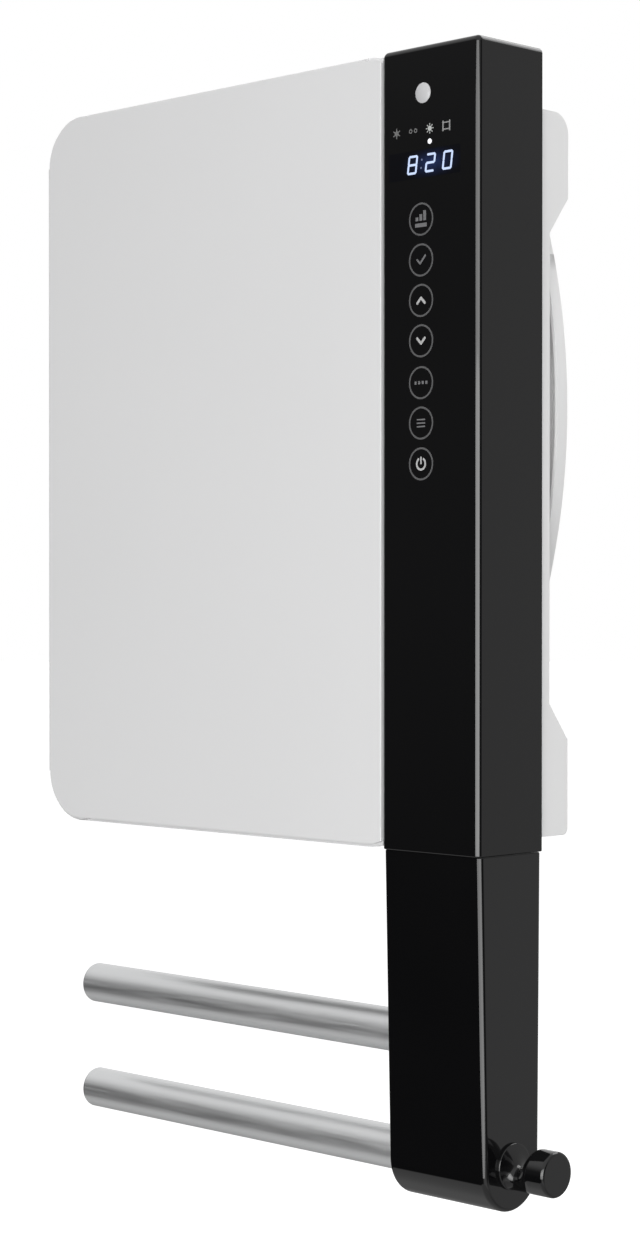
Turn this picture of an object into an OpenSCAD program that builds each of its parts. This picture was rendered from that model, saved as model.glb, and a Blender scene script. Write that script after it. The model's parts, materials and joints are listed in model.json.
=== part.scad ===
// Bathroom wall fan heater with a touch-control column, two towel rails and a robe hook.
// X runs to the right, Y runs back to the wall at Y = 0, and Z runs up.
// The origin is the centre of the four holes of the wall bracket, on the wall.

/* [Body] */
// Width over front panel and column
body_w = 380; // [360:1:430]
// Height of the front panel and upper column
body_h = 460; // [440:1:520]
// Distance from the wall to the front face
body_d = 80; // [77:0.5:90]
// Depth of the front panel and column shells
shell_d = 54.5; // [53:0.5:58]
// Height of the top edge above the wall fixing centre
top_above_fixing = 66; // [62:1:70]

/* [Front panel] */
// Wall thickness of the panel
panel_wall = 2.5; // [2:0.1:3]
// Radius of the two outer corners
panel_corner_r = 31; // [20:1:40]
// Rounding of the panel's front edge
panel_edge_r = 2; // [1:0.1:3]
// Gap between panel and column
reveal = 0.8; // [0.4:0.1:1.5]
// How far the panel's top edge lies below the column's
panel_drop = 1.2; // [0.5:0.1:3]
// How far the panel's bottom edge lies above the seam of the column
panel_rise = 0.4; // [0.2:0.1:2]
// Depth of the stiffening lip beside the column
panel_lip_d = 8; // [5:0.5:12]

/* [Column] */
// Width of the column
column_w = 75; // [72:1:85]
// Wall thickness of the column shells
column_wall = 2.2; // [1.8:0.1:2.6]
// Thickness of the gloss fascia
lens_t = 3.6; // [3.4:0.1:4.2]
// Rounding of the fascia's edge
lens_edge_r = 3.2; // [1:0.1:3.3]
// Radius of the fascia's corners
lens_corner_r = 5; // [5:0.5:9]
// Gap at the seam between upper and lower column
seam_gap = 0.7; // [0.4:0.1:1.5]
// Height of the seam to the lower rail's axis
lower_drop = 179.5; // [160:0.5:200]
// How far the lower column starts behind the fascia
lower_setback = 1.4; // [0.5:0.1:3]
// Radius of the half-round lower end
lower_end_r = 23.6; // [22.5:0.1:24]
// Depth of the half-round's axis behind the front face
lower_axis_d = 29.2; // [28.5:0.1:29.6]
// Rounding of the lower column's side edges
lower_edge_r = 3.2; // [0.5:0.1:4]

/* [Towel rails] */
// Outside diameter of a rail
rail_d = 25.5; // [22:0.5:28]
// Wall thickness of a rail
rail_wall = 1.5; // [1:0.1:2.5]
// Distance between the two rails
rail_pitch = 69.5; // [60:0.5:85]
// How far the rails end short of the panel's outer edge
rail_inset = 15; // [0:1:30]
// Thickness of a rail's end cap
cap_t = 4; // [3:0.5:6]
// Rounding of the end cap
cap_edge_r = 1.6; // [1:0.1:2.5]
// Length of the plug in a rail's fixed end
plug_l = 22; // [15:1:30]
// Diameter of the fixing thread of rails and hook
stud_d = 6; // [5:0.5:8]

/* [Robe hook] */
// How far the hook stands out of the column
hook_len = 33; // [28:1:42]
// How far the hook's axis lies above the lower rail's
hook_rise = 2.4; // [0:0.1:3]
// Diameter of the hook's foot
hook_foot_d = 26.8; // [24:0.2:30]
// Thickness of the foot
hook_foot_t = 2.5; // [2:0.5:4]
// Diameter of the neck at the foot
hook_neck_d = 10; // [9:0.2:12]
// How far the neck lies below the hook's axis
hook_neck_drop = 6.5; // [4:0.1:7]
// Flare between foot and neck
hook_flare_r = 3; // [1:0.5:4]
// Diameter of the head
hook_head_d = 26; // [23:0.2:29]
// Length of the head's full round
hook_rim_t = 5; // [4:0.5:8]
// Rounding of the head's end
hook_rim_r = 2.8; // [1:0.1:3.5]

/* [Rear casing] */
// How far the casing's sides lie inside the body's
casing_inset = 2; // [1:0.5:6]
// How far the casing's top lies below the body's
casing_drop = 34.5; // [31:0.5:40]
// How far the casing's bottom lies above the body's
casing_rise = 8; // [5:0.5:16]
// Wall thickness of the casing
casing_wall = 2.5; // [2:0.1:3]
// Depth of the air gap between casing and wall
air_gap = 16.5; // [15:0.5:18]
// Height of the upper foot, without its slope
foot_top_h = 48.5; // [46:0.5:54]
// Height of the lower foot, without its slope
foot_low_h = 55; // [50:1:70]
// Height of each foot's slope
foot_slope_h = 21.5; // [16:0.5:28]
// Radius of the casing's upper rear edge
casing_top_r = 12; // [8:0.5:14]
// Radius of the casing's lower rear edge
casing_low_r = 4; // [2:0.5:8]
// Thickness of the back plate
plate_t = 2.5; // [2:0.1:3]

/* [Air intake] */
// Height of the intake cowl
cowl_h = 201; // [180:1:202]
// Radius of the cowl's bowed sides
cowl_side_r = 390; // [250:5:600]
// Thickness of the cowl
cowl_t = 8.8; // [7:0.2:9.6]
// Wall thickness of the cowl
cowl_wall = 2; // [1.5:0.1:2.5]
// How far the cowl stays off the wall
cowl_off = 0.6; // [0.3:0.1:1.5]
// How far the slotted ring lies inside the cowl's edge
ring_inset = 12; // [8:1:16]
// Width of the slotted ring
ring_w = 5; // [4:0.5:8]
// Pitch of the slots
slot_pitch = 8; // [6:0.5:12]
// Width of a slot
slot_w = 5; // [3:0.5:5.5]
// Diameter of the round inlet
inlet_d = 118; // [100:1:120]
// Width of the inlet guard's bars
guard_bar = 2; // [1.4:0.2:2.4]
// Number of rings in the inlet guard
guard_rings = 6; // [4:1:8]
// How far the dust filter lies inside the cowl's top and bottom
filter_in = 25.5; // [22:0.5:28]
// Thickness of the dust filter
filter_t = 2.4; // [1.6:0.2:3]
// Pitch of the dust filter's grid
filter_pitch = 12; // [8:1:20]

/* [Fan] */
// Distance of the fan's axis from the body's left face
fan_in = 130; // [128:1:135]
// Outside diameter of the impeller
impeller_d = 140; // [130:1:142]
// Width of the impeller along its axis
impeller_w = 34; // [30:0.5:34]
// Depth of the blade ring
blade_depth = 14; // [10:0.5:16]
// Number of blades
blade_count = 30; // [18:1:36]
// Radius of a blade's curve
blade_r = 12; // [10:0.5:18]
// Thickness of a blade
blade_t = 1.2; // [0.8:0.1:1.6]
// Clearance between impeller and scroll at the tongue
tongue_gap = 6; // [4:0.5:8]
// Growth of the scroll's radius from tongue to outlet
scroll_growth = 36; // [30:1:38]
// Wall thickness of the scroll and duct
scroll_wall = 2; // [1.5:0.1:2.5]
// Diameter of the fan shaft
shaft_d = 6; // [5:0.5:8]
// Running clearance of the shaft in its bushes
shaft_clear = 0.05; // [0.02:0.01:0.09]
// Outside diameter of the motor
motor_d = 56; // [50:1:60]
// Length of the motor
motor_l = 22; // [20:0.5:23]

/* [Heater] */
// Distance from the heating element to the column
heater_in = 50; // [48:1:80]
// Height of the heating element
heater_h = 28; // [22:1:34]
// Depth of the heating element
heater_d = 26; // [22:1:30]
// Rows of folded fins
fin_rows = 2; // [1:1:3]
// Pitch of the folded fins
fin_pitch = 9.2; // [8:0.2:12]
// Thickness of a fin
fin_t = 0.8; // [0.5:0.1:1.2]
// Wall thickness of the heater's frame
frame_wall = 3; // [2:0.5:4]
// Number of slats in the outlet grille
slat_count = 4; // [2:1:5]
// Thickness of a slat
slat_t = 2; // [1.5:0.1:2.5]
// Height of a slat
slat_h = 9; // [6:0.5:12]

/* [Controls] */
// Distance of the key column from the body's right face
key_in = 44; // [40:1:48]
// Distance of the first key below the top
key_drop = 98; // [94:0.5:104]
// Distance between keys
key_pitch = 23.4; // [22:0.1:26]
// Number of keys
key_count = 7; // [5:1:8]
// Diameter of a key's sensing pad
pad_d = 12; // [8:0.5:16]
// Distance of the display's centre below the top
display_drop = 66; // [64:0.5:70]
// Width of the display
display_w = 54; // [44:1:56]
// Height of the display
display_h = 15; // [12:0.5:18]
// Distance of the presence sensor below the top
sensor_drop = 27.4; // [24:0.2:30]
// Diameter of the presence sensor's dome
sensor_d = 11.6; // [9:0.2:13]
// How far the sensor's dome stands proud
sensor_proud = 0.9; // [0.4:0.1:1.5]
// Distance of the indicator below the top
led_drop = 54.2; // [53.5:0.1:54.6]
// Diameter of the indicator's light guide
led_d = 3; // [2:0.2:3]
// Distance from fascia to control board
board_gap = 8.8; // [8.5:0.1:12]
// Thickness of the circuit boards
board_t = 1.6; // [1:0.1:2]

/* [Wall fixing] */
// Width of the wall bracket
bracket_w = 280; // [270:1:320]
// Height of the wall bracket
bracket_h = 32; // [30:0.5:34]
// Thickness of the bracket's sheet
bracket_t = 2; // [1.5:0.1:2.5]
// Distance between the fixing holes across
fix_x = 240; // [220:1:250]
// Distance between the fixing holes up and down
fix_z = 16; // [14:0.5:18]
// Diameter of the fixing holes
fix_hole_d = 5.5; // [4:0.1:6]
// Diameter of the small screws
screw_d = 3; // [2.5:0.1:3.5]
// Length of the small screws
screw_l = 14; // [12:0.5:15]
// Diameter of the cable gland's bore
cable_bore_d = 8.5; // [7:0.1:10]

/* [Hidden] */

$fn = 96;
fit = 0.2;             // clearance between pieces that seat on each other
snug = 0.02;           // clearance of pieces that are pressed or glued together
past = 1;              // how far a cutting tool runs past the faces it opens

// Main planes
x_right = body_w / 2;
x_left = -body_w / 2;
x_split = x_right - column_w;
z_top = top_above_fixing;
z_seam = z_top - body_h;
y_front = -body_d;
y_back = y_front + shell_d;
y_plate = y_back - plate_t;
x_mid = (x_split + x_right) / 2;
x_fan = x_left + fan_in;

// Front panel
panel_x1 = x_split - reveal;
panel_z0 = z_seam + panel_rise;
panel_z1 = z_top - panel_drop;
boss_d = screw_d + 5;
boss_in = 13;
screw_head_h = screw_d * 0.7;
panel_bosses = [
    [x_left + panel_corner_r, panel_z1 - boss_in], [x_fan + impeller_d / 2, panel_z1 - boss_in],
    [x_left + boss_in, z_top - body_h * 0.4], [x_split - 2 * boss_in, z_top - body_h * 0.4],
    [x_left + boss_in, z_top - body_h * 0.72], [x_split - 2 * boss_in, panel_z0 + 62]
];

// Back plate
plate_x0 = x_left + panel_wall + fit;
plate_x1 = x_right - column_wall - fit;
plate_z0 = panel_z0 + panel_wall + fit;
plate_z1 = panel_z1 - panel_wall - fit;
plate_corner_r = panel_corner_r - panel_wall - fit;

// Lower column
z_low_top = z_seam - seam_gap;
z_axis = z_seam - lower_drop;
y_axis = y_front + lower_axis_d;
z_rail_up = z_axis + rail_pitch;
rail_x0 = x_left + rail_inset + cap_t;
z_hook = z_axis + hook_rise;
z_stud = z_hook - hook_neck_drop;
seam_lip_in = 1.2;
service_w = 54;
service_z0 = z_rail_up + rail_d / 2 + 9;
service_z1 = z_low_top - 14;

// Column spine
spine_t = 2;
spine_pad = 2;
spine_in = 16;
spine_y1 = y_plate - spine_pad;
spine_y0 = spine_y1 - spine_t;
spine_xa = x_split + column_wall + 1.6;
spine_xb = x_right - column_wall - spine_in;
spine_top = z_seam + 140;
spine_lip_d = 12;
spine_eye_r = lower_end_r - column_wall - 2.4;
spine_screw_z = [z_seam + 120, z_seam + 30];
stud_hole_d = stud_d + 0.6;
stud_share = 0.45;

// Rear casing
cas_x = x_right - casing_inset;
cas_z1 = z_top - casing_drop;
cas_z0 = z_seam + casing_rise;
foot_top_z = cas_z1 - foot_top_h;
foot_low_z = cas_z0 + foot_low_h;
y_recess = -air_gap;
z_recess_top = foot_top_z - foot_slope_h;
z_recess_low = foot_low_z + foot_slope_h;
cas_boss_in = 9;
casing_bosses = [
    for (sx = [-1, 1], z = [z_recess_top - cas_boss_in, z_recess_low + cas_boss_in])
        [sx * (cas_x - cas_boss_in), z]
];
foot_fixings = [
    for (sx = [-1, 1], z = [(cas_z1 + foot_top_z) / 2, (cas_z0 + foot_low_z) / 2]) [sx * cas_x * 0.85, z]
];

// Air intake, centred below the upper foot
z_fan = z_recess_top - cowl_h / 2 + foot_slope_h * 0.04;
cowl_x = cas_x;
cowl_y1 = -cowl_off;
cowl_y0 = cowl_y1 - cowl_t;
cowl_boss_y = y_back + screw_head_h + fit;
ring_z = cowl_h / 2 - ring_inset - ring_w;
filter_side = cowl_h - 2 * filter_in;
cowl_fixings = [
    for (x = [-cowl_x * 0.82, 0, cowl_x * 0.82], sz = [-1, 1]) [x, z_fan + sz * (ring_z - boss_d / 2 + 1)]
];

// Fan along its axis, from the back plate forward
cover_t = 2;
cover_y0 = y_plate - cover_t;
wheel_y1 = cover_y0 - 3;
wheel_y0 = wheel_y1 - impeller_w;
scroll_y0 = wheel_y0 - 3 - scroll_wall;
motor_y0 = scroll_y0 + scroll_wall;
motor_y1 = motor_y0 + motor_l;
wheel_r = impeller_d / 2;
blade_in_r = wheel_r - blade_depth;
disc_t = 1.6;
cup_r = motor_d / 2 + 3;
cup_y1 = motor_y1 + 3;
hub_r = shaft_d / 2 + 4;
tongue_r = wheel_r + tongue_gap;
tongue_a = -110;
spiral_sweep = 290;
spiral_step = 10;
x_out0 = x_fan - tongue_r - scroll_growth;
x_out1 = x_fan + tongue_r * cos(tongue_a);
z_out = z_fan - tongue_r - 8;
scroll_y1 = cover_y0;
lug_d = screw_d + 5;
lug_out = lug_d / 2 + scroll_wall - 1;
scroll_lugs = concat(
    [for (t = [60, 150, 240]) spiral(t, -lug_out)],
    [[x_out0 - lug_out, z_out + 30]]
);
inlet_r = inlet_d / 2;

// Motor
motor_wall = 1.5;
bush_r = shaft_d / 2 + 2.5;
bush_l = 5;
shaft_y0 = motor_y0 + motor_wall;
shaft_y1 = cup_y1 + disc_t + 9;
rotor_r = motor_d / 2 * 0.46;
rotor_gap = 0.6;
motor_inner_r = motor_d / 2 - motor_wall;
motor_screw_r = motor_d / 2 * 0.72;

// Heater and outlet
outlet_y0 = y_front + panel_wall + 5;
outlet_y1 = outlet_y0 + heater_d + 2 * frame_wall;
grille_z0 = panel_z0 + 0.6;
grille_z1 = grille_z0 + slat_h + 2;
frame_z0 = grille_z1 + fit;
frame_z1 = frame_z0 + heater_h + 2 * frame_wall;
heater_x0 = x_out0 + 7;
heater_x1 = x_split - heater_in;
heater_w = heater_x1 - heater_x0;
heater_mid = (heater_x0 + heater_x1) / 2;
frame_x0 = heater_x0 - frame_wall;
frame_x1 = heater_x1 + frame_wall;
bar_h = 2.4;
cutout_r = 6;
cutout_l = 5;
tab_w = 3;
tab_pitch = 4;
fuse_r = 2;
fuse_l = 12;
fin_h = (heater_h - (fin_rows + 1) * bar_h) / fin_rows;

// Control column
lens_y1 = y_front + lens_t;
col_y0 = lens_y1 + snug;
key_x = x_right - key_in;
cut_w = column_w - 2 * column_wall - 5;
board_y0 = lens_y1 + board_gap;
board_y1 = board_y0 + board_t;
board_x0 = x_mid - cut_w / 2 + 1;
board_x1 = x_mid + cut_w / 2 - 1;
board_z1 = z_top - sensor_drop + 12;
board_z0 = z_top - key_drop - (key_count - 1) * key_pitch - 14;
led_x = x_right - 37.3;
sensor_x = x_right - 42.6;
display_x = x_right - 42;

// Power board and its components
pcb_w = 150;
pcb_drop = 22;
pcb_over = 36;
pcb_gap = 5;
pcb_hole_in = 6;
pcb_x0 = x_fan - wheel_r - 14;
pcb_x1 = pcb_x0 + pcb_w;
pcb_z1 = panel_z1 - panel_wall - pcb_drop;
pcb_z0 = z_fan + tongue_r + pcb_over;
pcb_y1 = y_plate - pcb_gap;
pcb_y0 = pcb_y1 - board_t;
pcb_holes = [
    for (x = [pcb_x0 + pcb_hole_in, pcb_x1 - pcb_hole_in], z = [pcb_z0 + pcb_hole_in, pcb_z1 - pcb_hole_in])
        [x, z]
];
standoff_r = 3;
relay_w = 18;
relay_h = 15;
relay_pitch = 24;
relay_in = 14;
film_r = 5.5;
film_l = 18;
film_pitch = 15;
film_in = 26;
sink_w = 40;
sink_h = 10;
sink_d = 20;
sink_base = 4;
sink_fins = 7;
sink_fin_t = 1.6;
sink_in = 16;
ribbon_w = 16;
ribbon_t = 1;
ribbon_gap = 13;
ribbon_z = (pcb_z0 + pcb_z1) / 2;
lead_r = 1.5;
lead_pitch = 5;

// Mains entry
gland_in = 34;
gland_wall = 4;
gland_l = 10;
gland_x = x_split - gland_in;
gland_z = (z_recess_low + z_fan - cowl_h / 2) / 2;
gland_r = cable_bore_d / 2 + gland_wall;
block_x = gland_x;
block_w = 44;
block_h = 18;
block_d = 18;
way_pitch = 13;
way_r = 2.6;
clamp_w = 28;
clamp_h = 8;
clamp_z = gland_z + gland_r + clamp_h;
block_z = clamp_z + clamp_h + block_h;
earth_r = 2;

// Mains switch on the outer side
switch_z = z_seam + 92;
switch_y = (y_front + y_back) / 2;
switch_h = 26;
switch_w = 15;
switch_depth = 16;
switch_wall = 1.6;
rocker_pivot_x = x_left + 3.2;
rocker_tilt = 11;
rocker_pin_r = 1.2;
rocker_gap = 0.45;

// Wall fixing
pocket_d = 6;
pocket_gap = 1.2;
pocket_wall = 2;
pocket_x = bracket_w / 2 + pocket_gap;
lift = 9;
pocket_z0 = -bracket_h / 2 - pocket_gap - lift;
pocket_z1 = bracket_h / 2 + pocket_gap;
tab_h = 8;
tab_y1 = -pocket_d - casing_wall - 1;
hook_x = bracket_w * 0.3;
hook_w = 24;
clip_w = 44;
clip_z0 = cas_z0 + casing_wall + 0.5;
clip_h = 30;
clip_d = 14;
lock_r = 2;

// Colours
panel_grey = [0.83, 0.83, 0.84];
gloss_black = [0.07, 0.07, 0.08];
graphite = [0.19, 0.19, 0.2];
casing_white = [0.86, 0.86, 0.86];
satin_alloy = [0.76, 0.77, 0.78];
steel = [0.62, 0.64, 0.66];
dark_resin = [0.13, 0.13, 0.14];
cream_resin = [0.87, 0.85, 0.79];
board_green = [0.08, 0.32, 0.18];
copper = [0.72, 0.43, 0.24];
rocker_black = [0.1, 0.1, 0.11];

// ---------- helpers ----------

// A block between two corners
module block(a, b) {
    translate(a) cube(b - a);
}

// A flat shape drawn in X and Z, extruded along Y
module on_y(y0, y1) {
    translate([0, y1, 0]) rotate([90, 0, 0]) linear_extrude(y1 - y0) children();
}

// A flat shape drawn in Y and Z, extruded along X
module on_x(x0, x1) {
    translate([x0, 0, 0]) rotate([90, 0, 90]) linear_extrude(x1 - x0) children();
}

// A round bar along X, Y or Z
module bar_x(x0, x1, y, z, r) {
    translate([x0, y, z]) rotate([0, 90, 0]) cylinder(h = x1 - x0, r = r);
}
module bar_y(y0, y1, x, z, r) {
    translate([x, y0, z]) rotate([-90, 0, 0]) cylinder(h = y1 - y0, r = r);
}
module bar_z(z0, z1, x, y, r) {
    translate([x, y, z0]) cylinder(h = z1 - z0, r = r);
}

// A round rod through the given points
module rod_through(points, r) {
    for (i = [0 : len(points) - 2]) {
        v = points[i + 1] - points[i];
        l = norm(v);
        translate(points[i]) {
            if (i > 0) sphere(r);
            rotate([0, acos(v[2] / l), atan2(v[1], v[0])]) cylinder(h = l, r = r);
        }
    }
}

// A rectangle with its own radius at left and right corners
module plate_2d(x0, x1, z0, z1, rl, rr) {
    union() {
        translate([x0 + rl, z0]) square([x1 - rr - x0 - rl, z1 - z0]);
        translate([x0, z0 + rl]) square([rl, z1 - z0 - 2 * rl]);
        translate([x1 - rr, z0 + rr]) square([rr, z1 - z0 - 2 * rr]);
        for (z = [z0 + rl, z1 - rl]) translate([x0 + rl, z]) circle(rl);
        for (z = [z0 + rr, z1 - rr]) translate([x1 - rr, z]) circle(rr);
    }
}

// A block with round corners whose front edge is rounded all the way round
module pillow(x0, x1, z0, z1, y0, y1, rl, rr, re) {
    on_y(y0 + re, y1) plate_2d(x0, x1, z0, z1, rl, rr);
    on_y(y0, y0 + re) plate_2d(x0 + re, x1 - re, z0 + re, z1 - re, rl - re, rr - re);
    for (z = [z0 + re, z1 - re]) bar_x(x0 + rl, x1 - rr, y0 + re, z, re);
    bar_z(z0 + rl, z1 - rl, x0 + re, y0 + re, re);
    bar_z(z0 + rr, z1 - rr, x1 - re, y0 + re, re);
    for (z = [z0 + rl, z1 - rl]) ring_y(x0 + rl, z, y0 + re, rl - re, re);
    for (z = [z0 + rr, z1 - rr]) ring_y(x1 - rr, z, y0 + re, rr - re, re);
}

// A ring of round section about an axis along Y; one narrower than its section has no hole
module ring_y(x, z, y, r, section_r) {
    translate([x, y, z]) rotate([90, 0, 0]) rotate_extrude() intersection() {
        translate([r, 0]) circle(section_r);
        translate([0, -section_r - 1]) square([r + section_r + 1, 2 * section_r + 2]);
    }
}

// A round-headed screw along Y with its head at the rear
module rear_screw(x, z, head_y, length, d) {
    bar_y(head_y - length, head_y, x, z, d / 2 - snug);
    difference() {
        bar_y(head_y, head_y + d * 0.7, x, z, d * 0.95);
        on_y(head_y + d * 0.35, head_y + d * 0.7 + past) translate([x, z]) cross_2d(d);
    }
}

// The cross recess of a screw head
module cross_2d(d) {
    square([d * 1.1, d * 0.22], center = true);
    square([d * 0.22, d * 1.1], center = true);
}

// ---------- front ----------

// The light front panel, a shallow tray open to the rear
module front_panel() {
    color(panel_grey) difference() {
        union() {
            difference() {
                intersection() {
                    pillow(x_left, panel_x1 + 20, panel_z0, panel_z1, y_front, y_back,
                        panel_corner_r, panel_corner_r, panel_edge_r);
                    block([x_left - past, y_front - past, z_seam - past],
                        [panel_x1, y_back + past, z_top + past]);
                }
                on_y(y_front + panel_wall, y_back + past)
                    plate_2d(x_left + panel_wall, panel_x1 + 40, panel_z0 + panel_wall,
                        panel_z1 - panel_wall, panel_corner_r - panel_wall, panel_edge_r);
            }
            block([panel_x1 - panel_wall, y_front + panel_wall - 0.5, panel_z0 + panel_wall / 2],
                [panel_x1, y_front + panel_lip_d, panel_z1 - panel_wall / 2]);
            for (p = panel_bosses)
                bar_y(y_front + panel_wall / 2, y_plate - fit, p[0], p[1], boss_d / 2);
        }
        for (p = panel_bosses)
            bar_y(y_back - screw_l - 1, y_plate, p[0], p[1], screw_d / 2);
        block([frame_x0, outlet_y0, panel_z0 - past],
            [frame_x1, outlet_y1, grille_z1]);
        block([x_left - past, switch_y - switch_w / 2 - fit, switch_z - switch_h / 2 - fit],
            [x_left + panel_wall + past, switch_y + switch_w / 2 + fit, switch_z + switch_h / 2 + fit]);
    }
}

// The gloss black fascia of the upper column
module fascia() {
    color(gloss_black) difference() {
        intersection() {
            pillow(x_split, x_right, z_seam, z_top, y_front, y_back,
                lens_corner_r, lens_corner_r, lens_edge_r);
            block([x_split - past, y_front - past, z_seam - past], [x_right + past, lens_y1, z_top + past]);
        }
        bar_y(y_front - past, lens_y1 + past, sensor_x, z_top - sensor_drop, sensor_d / 2 + fit / 2);
    }
}

// The upper column's shell behind the fascia
module column_shell() {
    inner_x0 = x_split + column_wall;
    inner_x1 = x_right - column_wall;
    color(graphite) difference() {
        on_y(col_y0, y_back)
            plate_2d(x_split, x_right, z_seam, z_top, lens_corner_r, lens_corner_r);
        on_y(col_y0 + column_wall, y_back + past)
            plate_2d(inner_x0, inner_x1, z_seam + column_wall, z_top - column_wall,
                lens_corner_r - column_wall, lens_corner_r - column_wall);
        // window for the control board and display
        block([x_mid - cut_w / 2, col_y0 - past, board_z0 - 4],
            [x_mid + cut_w / 2, col_y0 + column_wall + past, board_z1 + 4]);
        // the back plate passes behind the inner wall
        block([x_split - past, y_plate - fit, plate_z0 - fit],
            [inner_x0 + past, y_back + past, plate_z1 + fit]);
        // passage for the ribbon cable
        block([x_split - past, y_plate - ribbon_gap - 3, ribbon_z - ribbon_w / 2 - 2],
            [inner_x0 + past, y_plate - ribbon_gap + 3, ribbon_z + ribbon_w / 2 + 2]);
        // passage for the spine through the seam
        block([spine_xa - 0.6, spine_y0 - spine_lip_d - 1, z_seam - past],
            [spine_xb + 0.6, y_plate + past, z_seam + column_wall + past]);
    }
}

// ---------- lower column ----------

// Angle of the line from the point p that touches the circle about c; side is 1 or -1
function touch_a(p, c, r, side) = atan2(c[1] - p[1], c[0] - p[0]) + side * asin(r / norm(c - p));

// Where that line touches the circle
function touch(p, c, r, side) =
    let (a = touch_a(p, c, r, side), l = sqrt(pow(norm(c - p), 2) - r * r)) p + l * [cos(a), sin(a)];

// Upper end of the lower column's front, side -1, or rear, side 1, moved in by inset
function lower_top(side, inset) =
    let (p = [side < 0 ? y_front + lower_setback : y_back, z_low_top],
         a = touch_a(p, [y_axis, z_axis], lower_end_r, side))
    p - [side * inset / abs(sin(a)), 0];

// Side outline of the lower column: a leaning front and a half-round end
module lower_2d(inset) {
    c = [y_axis, z_axis];
    r = lower_end_r - inset;
    front = lower_top(-1, inset);
    rear = lower_top(1, inset);
    polygon([rear, front, touch(front, c, r, -1), c, touch(rear, c, r, 1)]);
    translate(c) circle(r);
}

// The lower column's outer form, whose side edges are rounded in steps
module lower_form() {
    r = lower_edge_r;
    on_x(x_split + r, x_right - r) lower_2d(0);
    for (side = [-1, 1]) hull() for (a = [0 : 22.5 : 90]) {
        x = (side < 0 ? x_split : x_right) - side * r * (1 - sin(a));
        on_x(min(x, x - side), max(x, x - side)) lower_2d(r * (1 - cos(a)) + snug, $fn = 96);
    }
}

// The gloss black lower column
module column_lower_shell() {
    color(gloss_black) difference() {
        union() {
            lower_form();
            // lip that fills the seam, out of sight
            block([x_split + seam_lip_in, y_front + lower_setback + seam_lip_in, z_low_top - 1],
                [x_right - seam_lip_in, y_back - seam_lip_in, z_seam - fit]);
        }
        difference() {
            on_x(x_split + column_wall, x_right - column_wall) lower_2d(column_wall);
            block([x_split, y_front, z_low_top - column_wall], [x_right, 0, z_low_top + past]);
        }
        // passage for the spine through the seam
        block([spine_xa - 0.6, spine_y0 - spine_lip_d - 1, z_low_top - column_wall - past],
            [spine_xb + 0.6, spine_y1 + 0.6, z_seam]);
        // service opening in the rear wall
        block([x_mid - service_w / 2, spine_y1 + 1, service_z0], [x_mid + service_w / 2, 0, service_z1]);
        for (z = [z_rail_up, z_axis])
            bar_x(x_split - past, x_split + column_wall + past, y_axis, z, rail_d / 2 + fit);
        bar_x(x_right - column_wall - past, x_right + past, y_axis, z_stud, stud_hole_d / 2);
    }
}

// The cover of the lower column's service opening
module column_lower_cover() {
    hw = service_w / 2 - fit;
    z0 = service_z0 + fit;
    z1 = service_z1 - fit;
    color(graphite) difference() {
        intersection() {
            on_x(x_mid - hw, x_mid + hw) lower_2d(0);
            block([x_split, y_back - column_wall, z0], [x_right, 0, z1]);
        }
        for (z = [z0 + 8, z1 - 8])
            bar_y(y_back - 4, 0, x_mid, z, screw_d / 2 + fit);
    }
}

// The folded steel spine that carries rails and lower column
module column_spine() {
    color(steel) difference() {
        union() {
            block([spine_xa, spine_y0, z_axis], [spine_xb, spine_y1, spine_top]);
            for (x = [spine_xa, spine_xb - spine_t]) {
                block([x, spine_y0 - spine_lip_d, z_rail_up], [x + spine_t, spine_y0 + 0.5, spine_top]);
                on_x(x, x + spine_t) {
                    translate([y_axis, z_axis]) circle(spine_eye_r);
                    translate([y_axis - spine_eye_r, z_axis])
                        square([spine_y1 - y_axis + spine_eye_r, rail_pitch + spine_eye_r]);
                }
            }
        }
        for (z = [z_rail_up, z_axis]) {
            bar_x(spine_xa - past, spine_xa + spine_t + past, y_axis, z, rail_d / 2 + fit);
        }
        for (z = [z_rail_up, z_stud])
            bar_x(spine_xb - spine_t - past, spine_xb + past, y_axis, z, stud_hole_d / 2);
        for (z = spine_screw_z)
            bar_y(spine_y0 - past, spine_y1 + past, x_mid, z, screw_d / 2 + fit);
    }
}

// ---------- rear ----------

// The moulded plate that closes panel and column at the rear
module back_plate() {
    color(casing_white) difference() {
        union() {
            on_y(y_plate, y_back)
                plate_2d(plate_x0, plate_x1, plate_z0, plate_z1, plate_corner_r, lens_corner_r - column_wall);
            // pads under the spine
            for (z = spine_screw_z)
                block([spine_xa + 4, spine_y1 + snug, z - 12], [spine_xb - 4, y_plate + 0.5, z + 12]);
            // standoffs of the power board
            for (p = pcb_holes) bar_y(pcb_y1, y_plate + 0.5, p[0], p[1], standoff_r);
            // screw bosses for the casing
            for (p = casing_bosses)
                bar_y(y_plate - 6, y_plate + 0.5, p[0], p[1], boss_d / 2);
        }
        bar_y(y_plate - past, y_back + past, x_fan, z_fan, inlet_r);
        for (p = concat(panel_bosses, scroll_lugs))
            bar_y(y_plate - past, y_back + past, p[0], p[1], screw_d / 2 + fit);
        for (p = casing_bosses)
            bar_y(y_plate - 6 - past, y_back + past, p[0], p[1], screw_d / 2);
        for (z = spine_screw_z)
            bar_y(spine_y1 - past, y_back + past, x_mid, z, screw_d / 2 + fit);
        bar_y(y_plate - past, y_back + past, gland_x, gland_z, gland_r + fit);
    }
}

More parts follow.
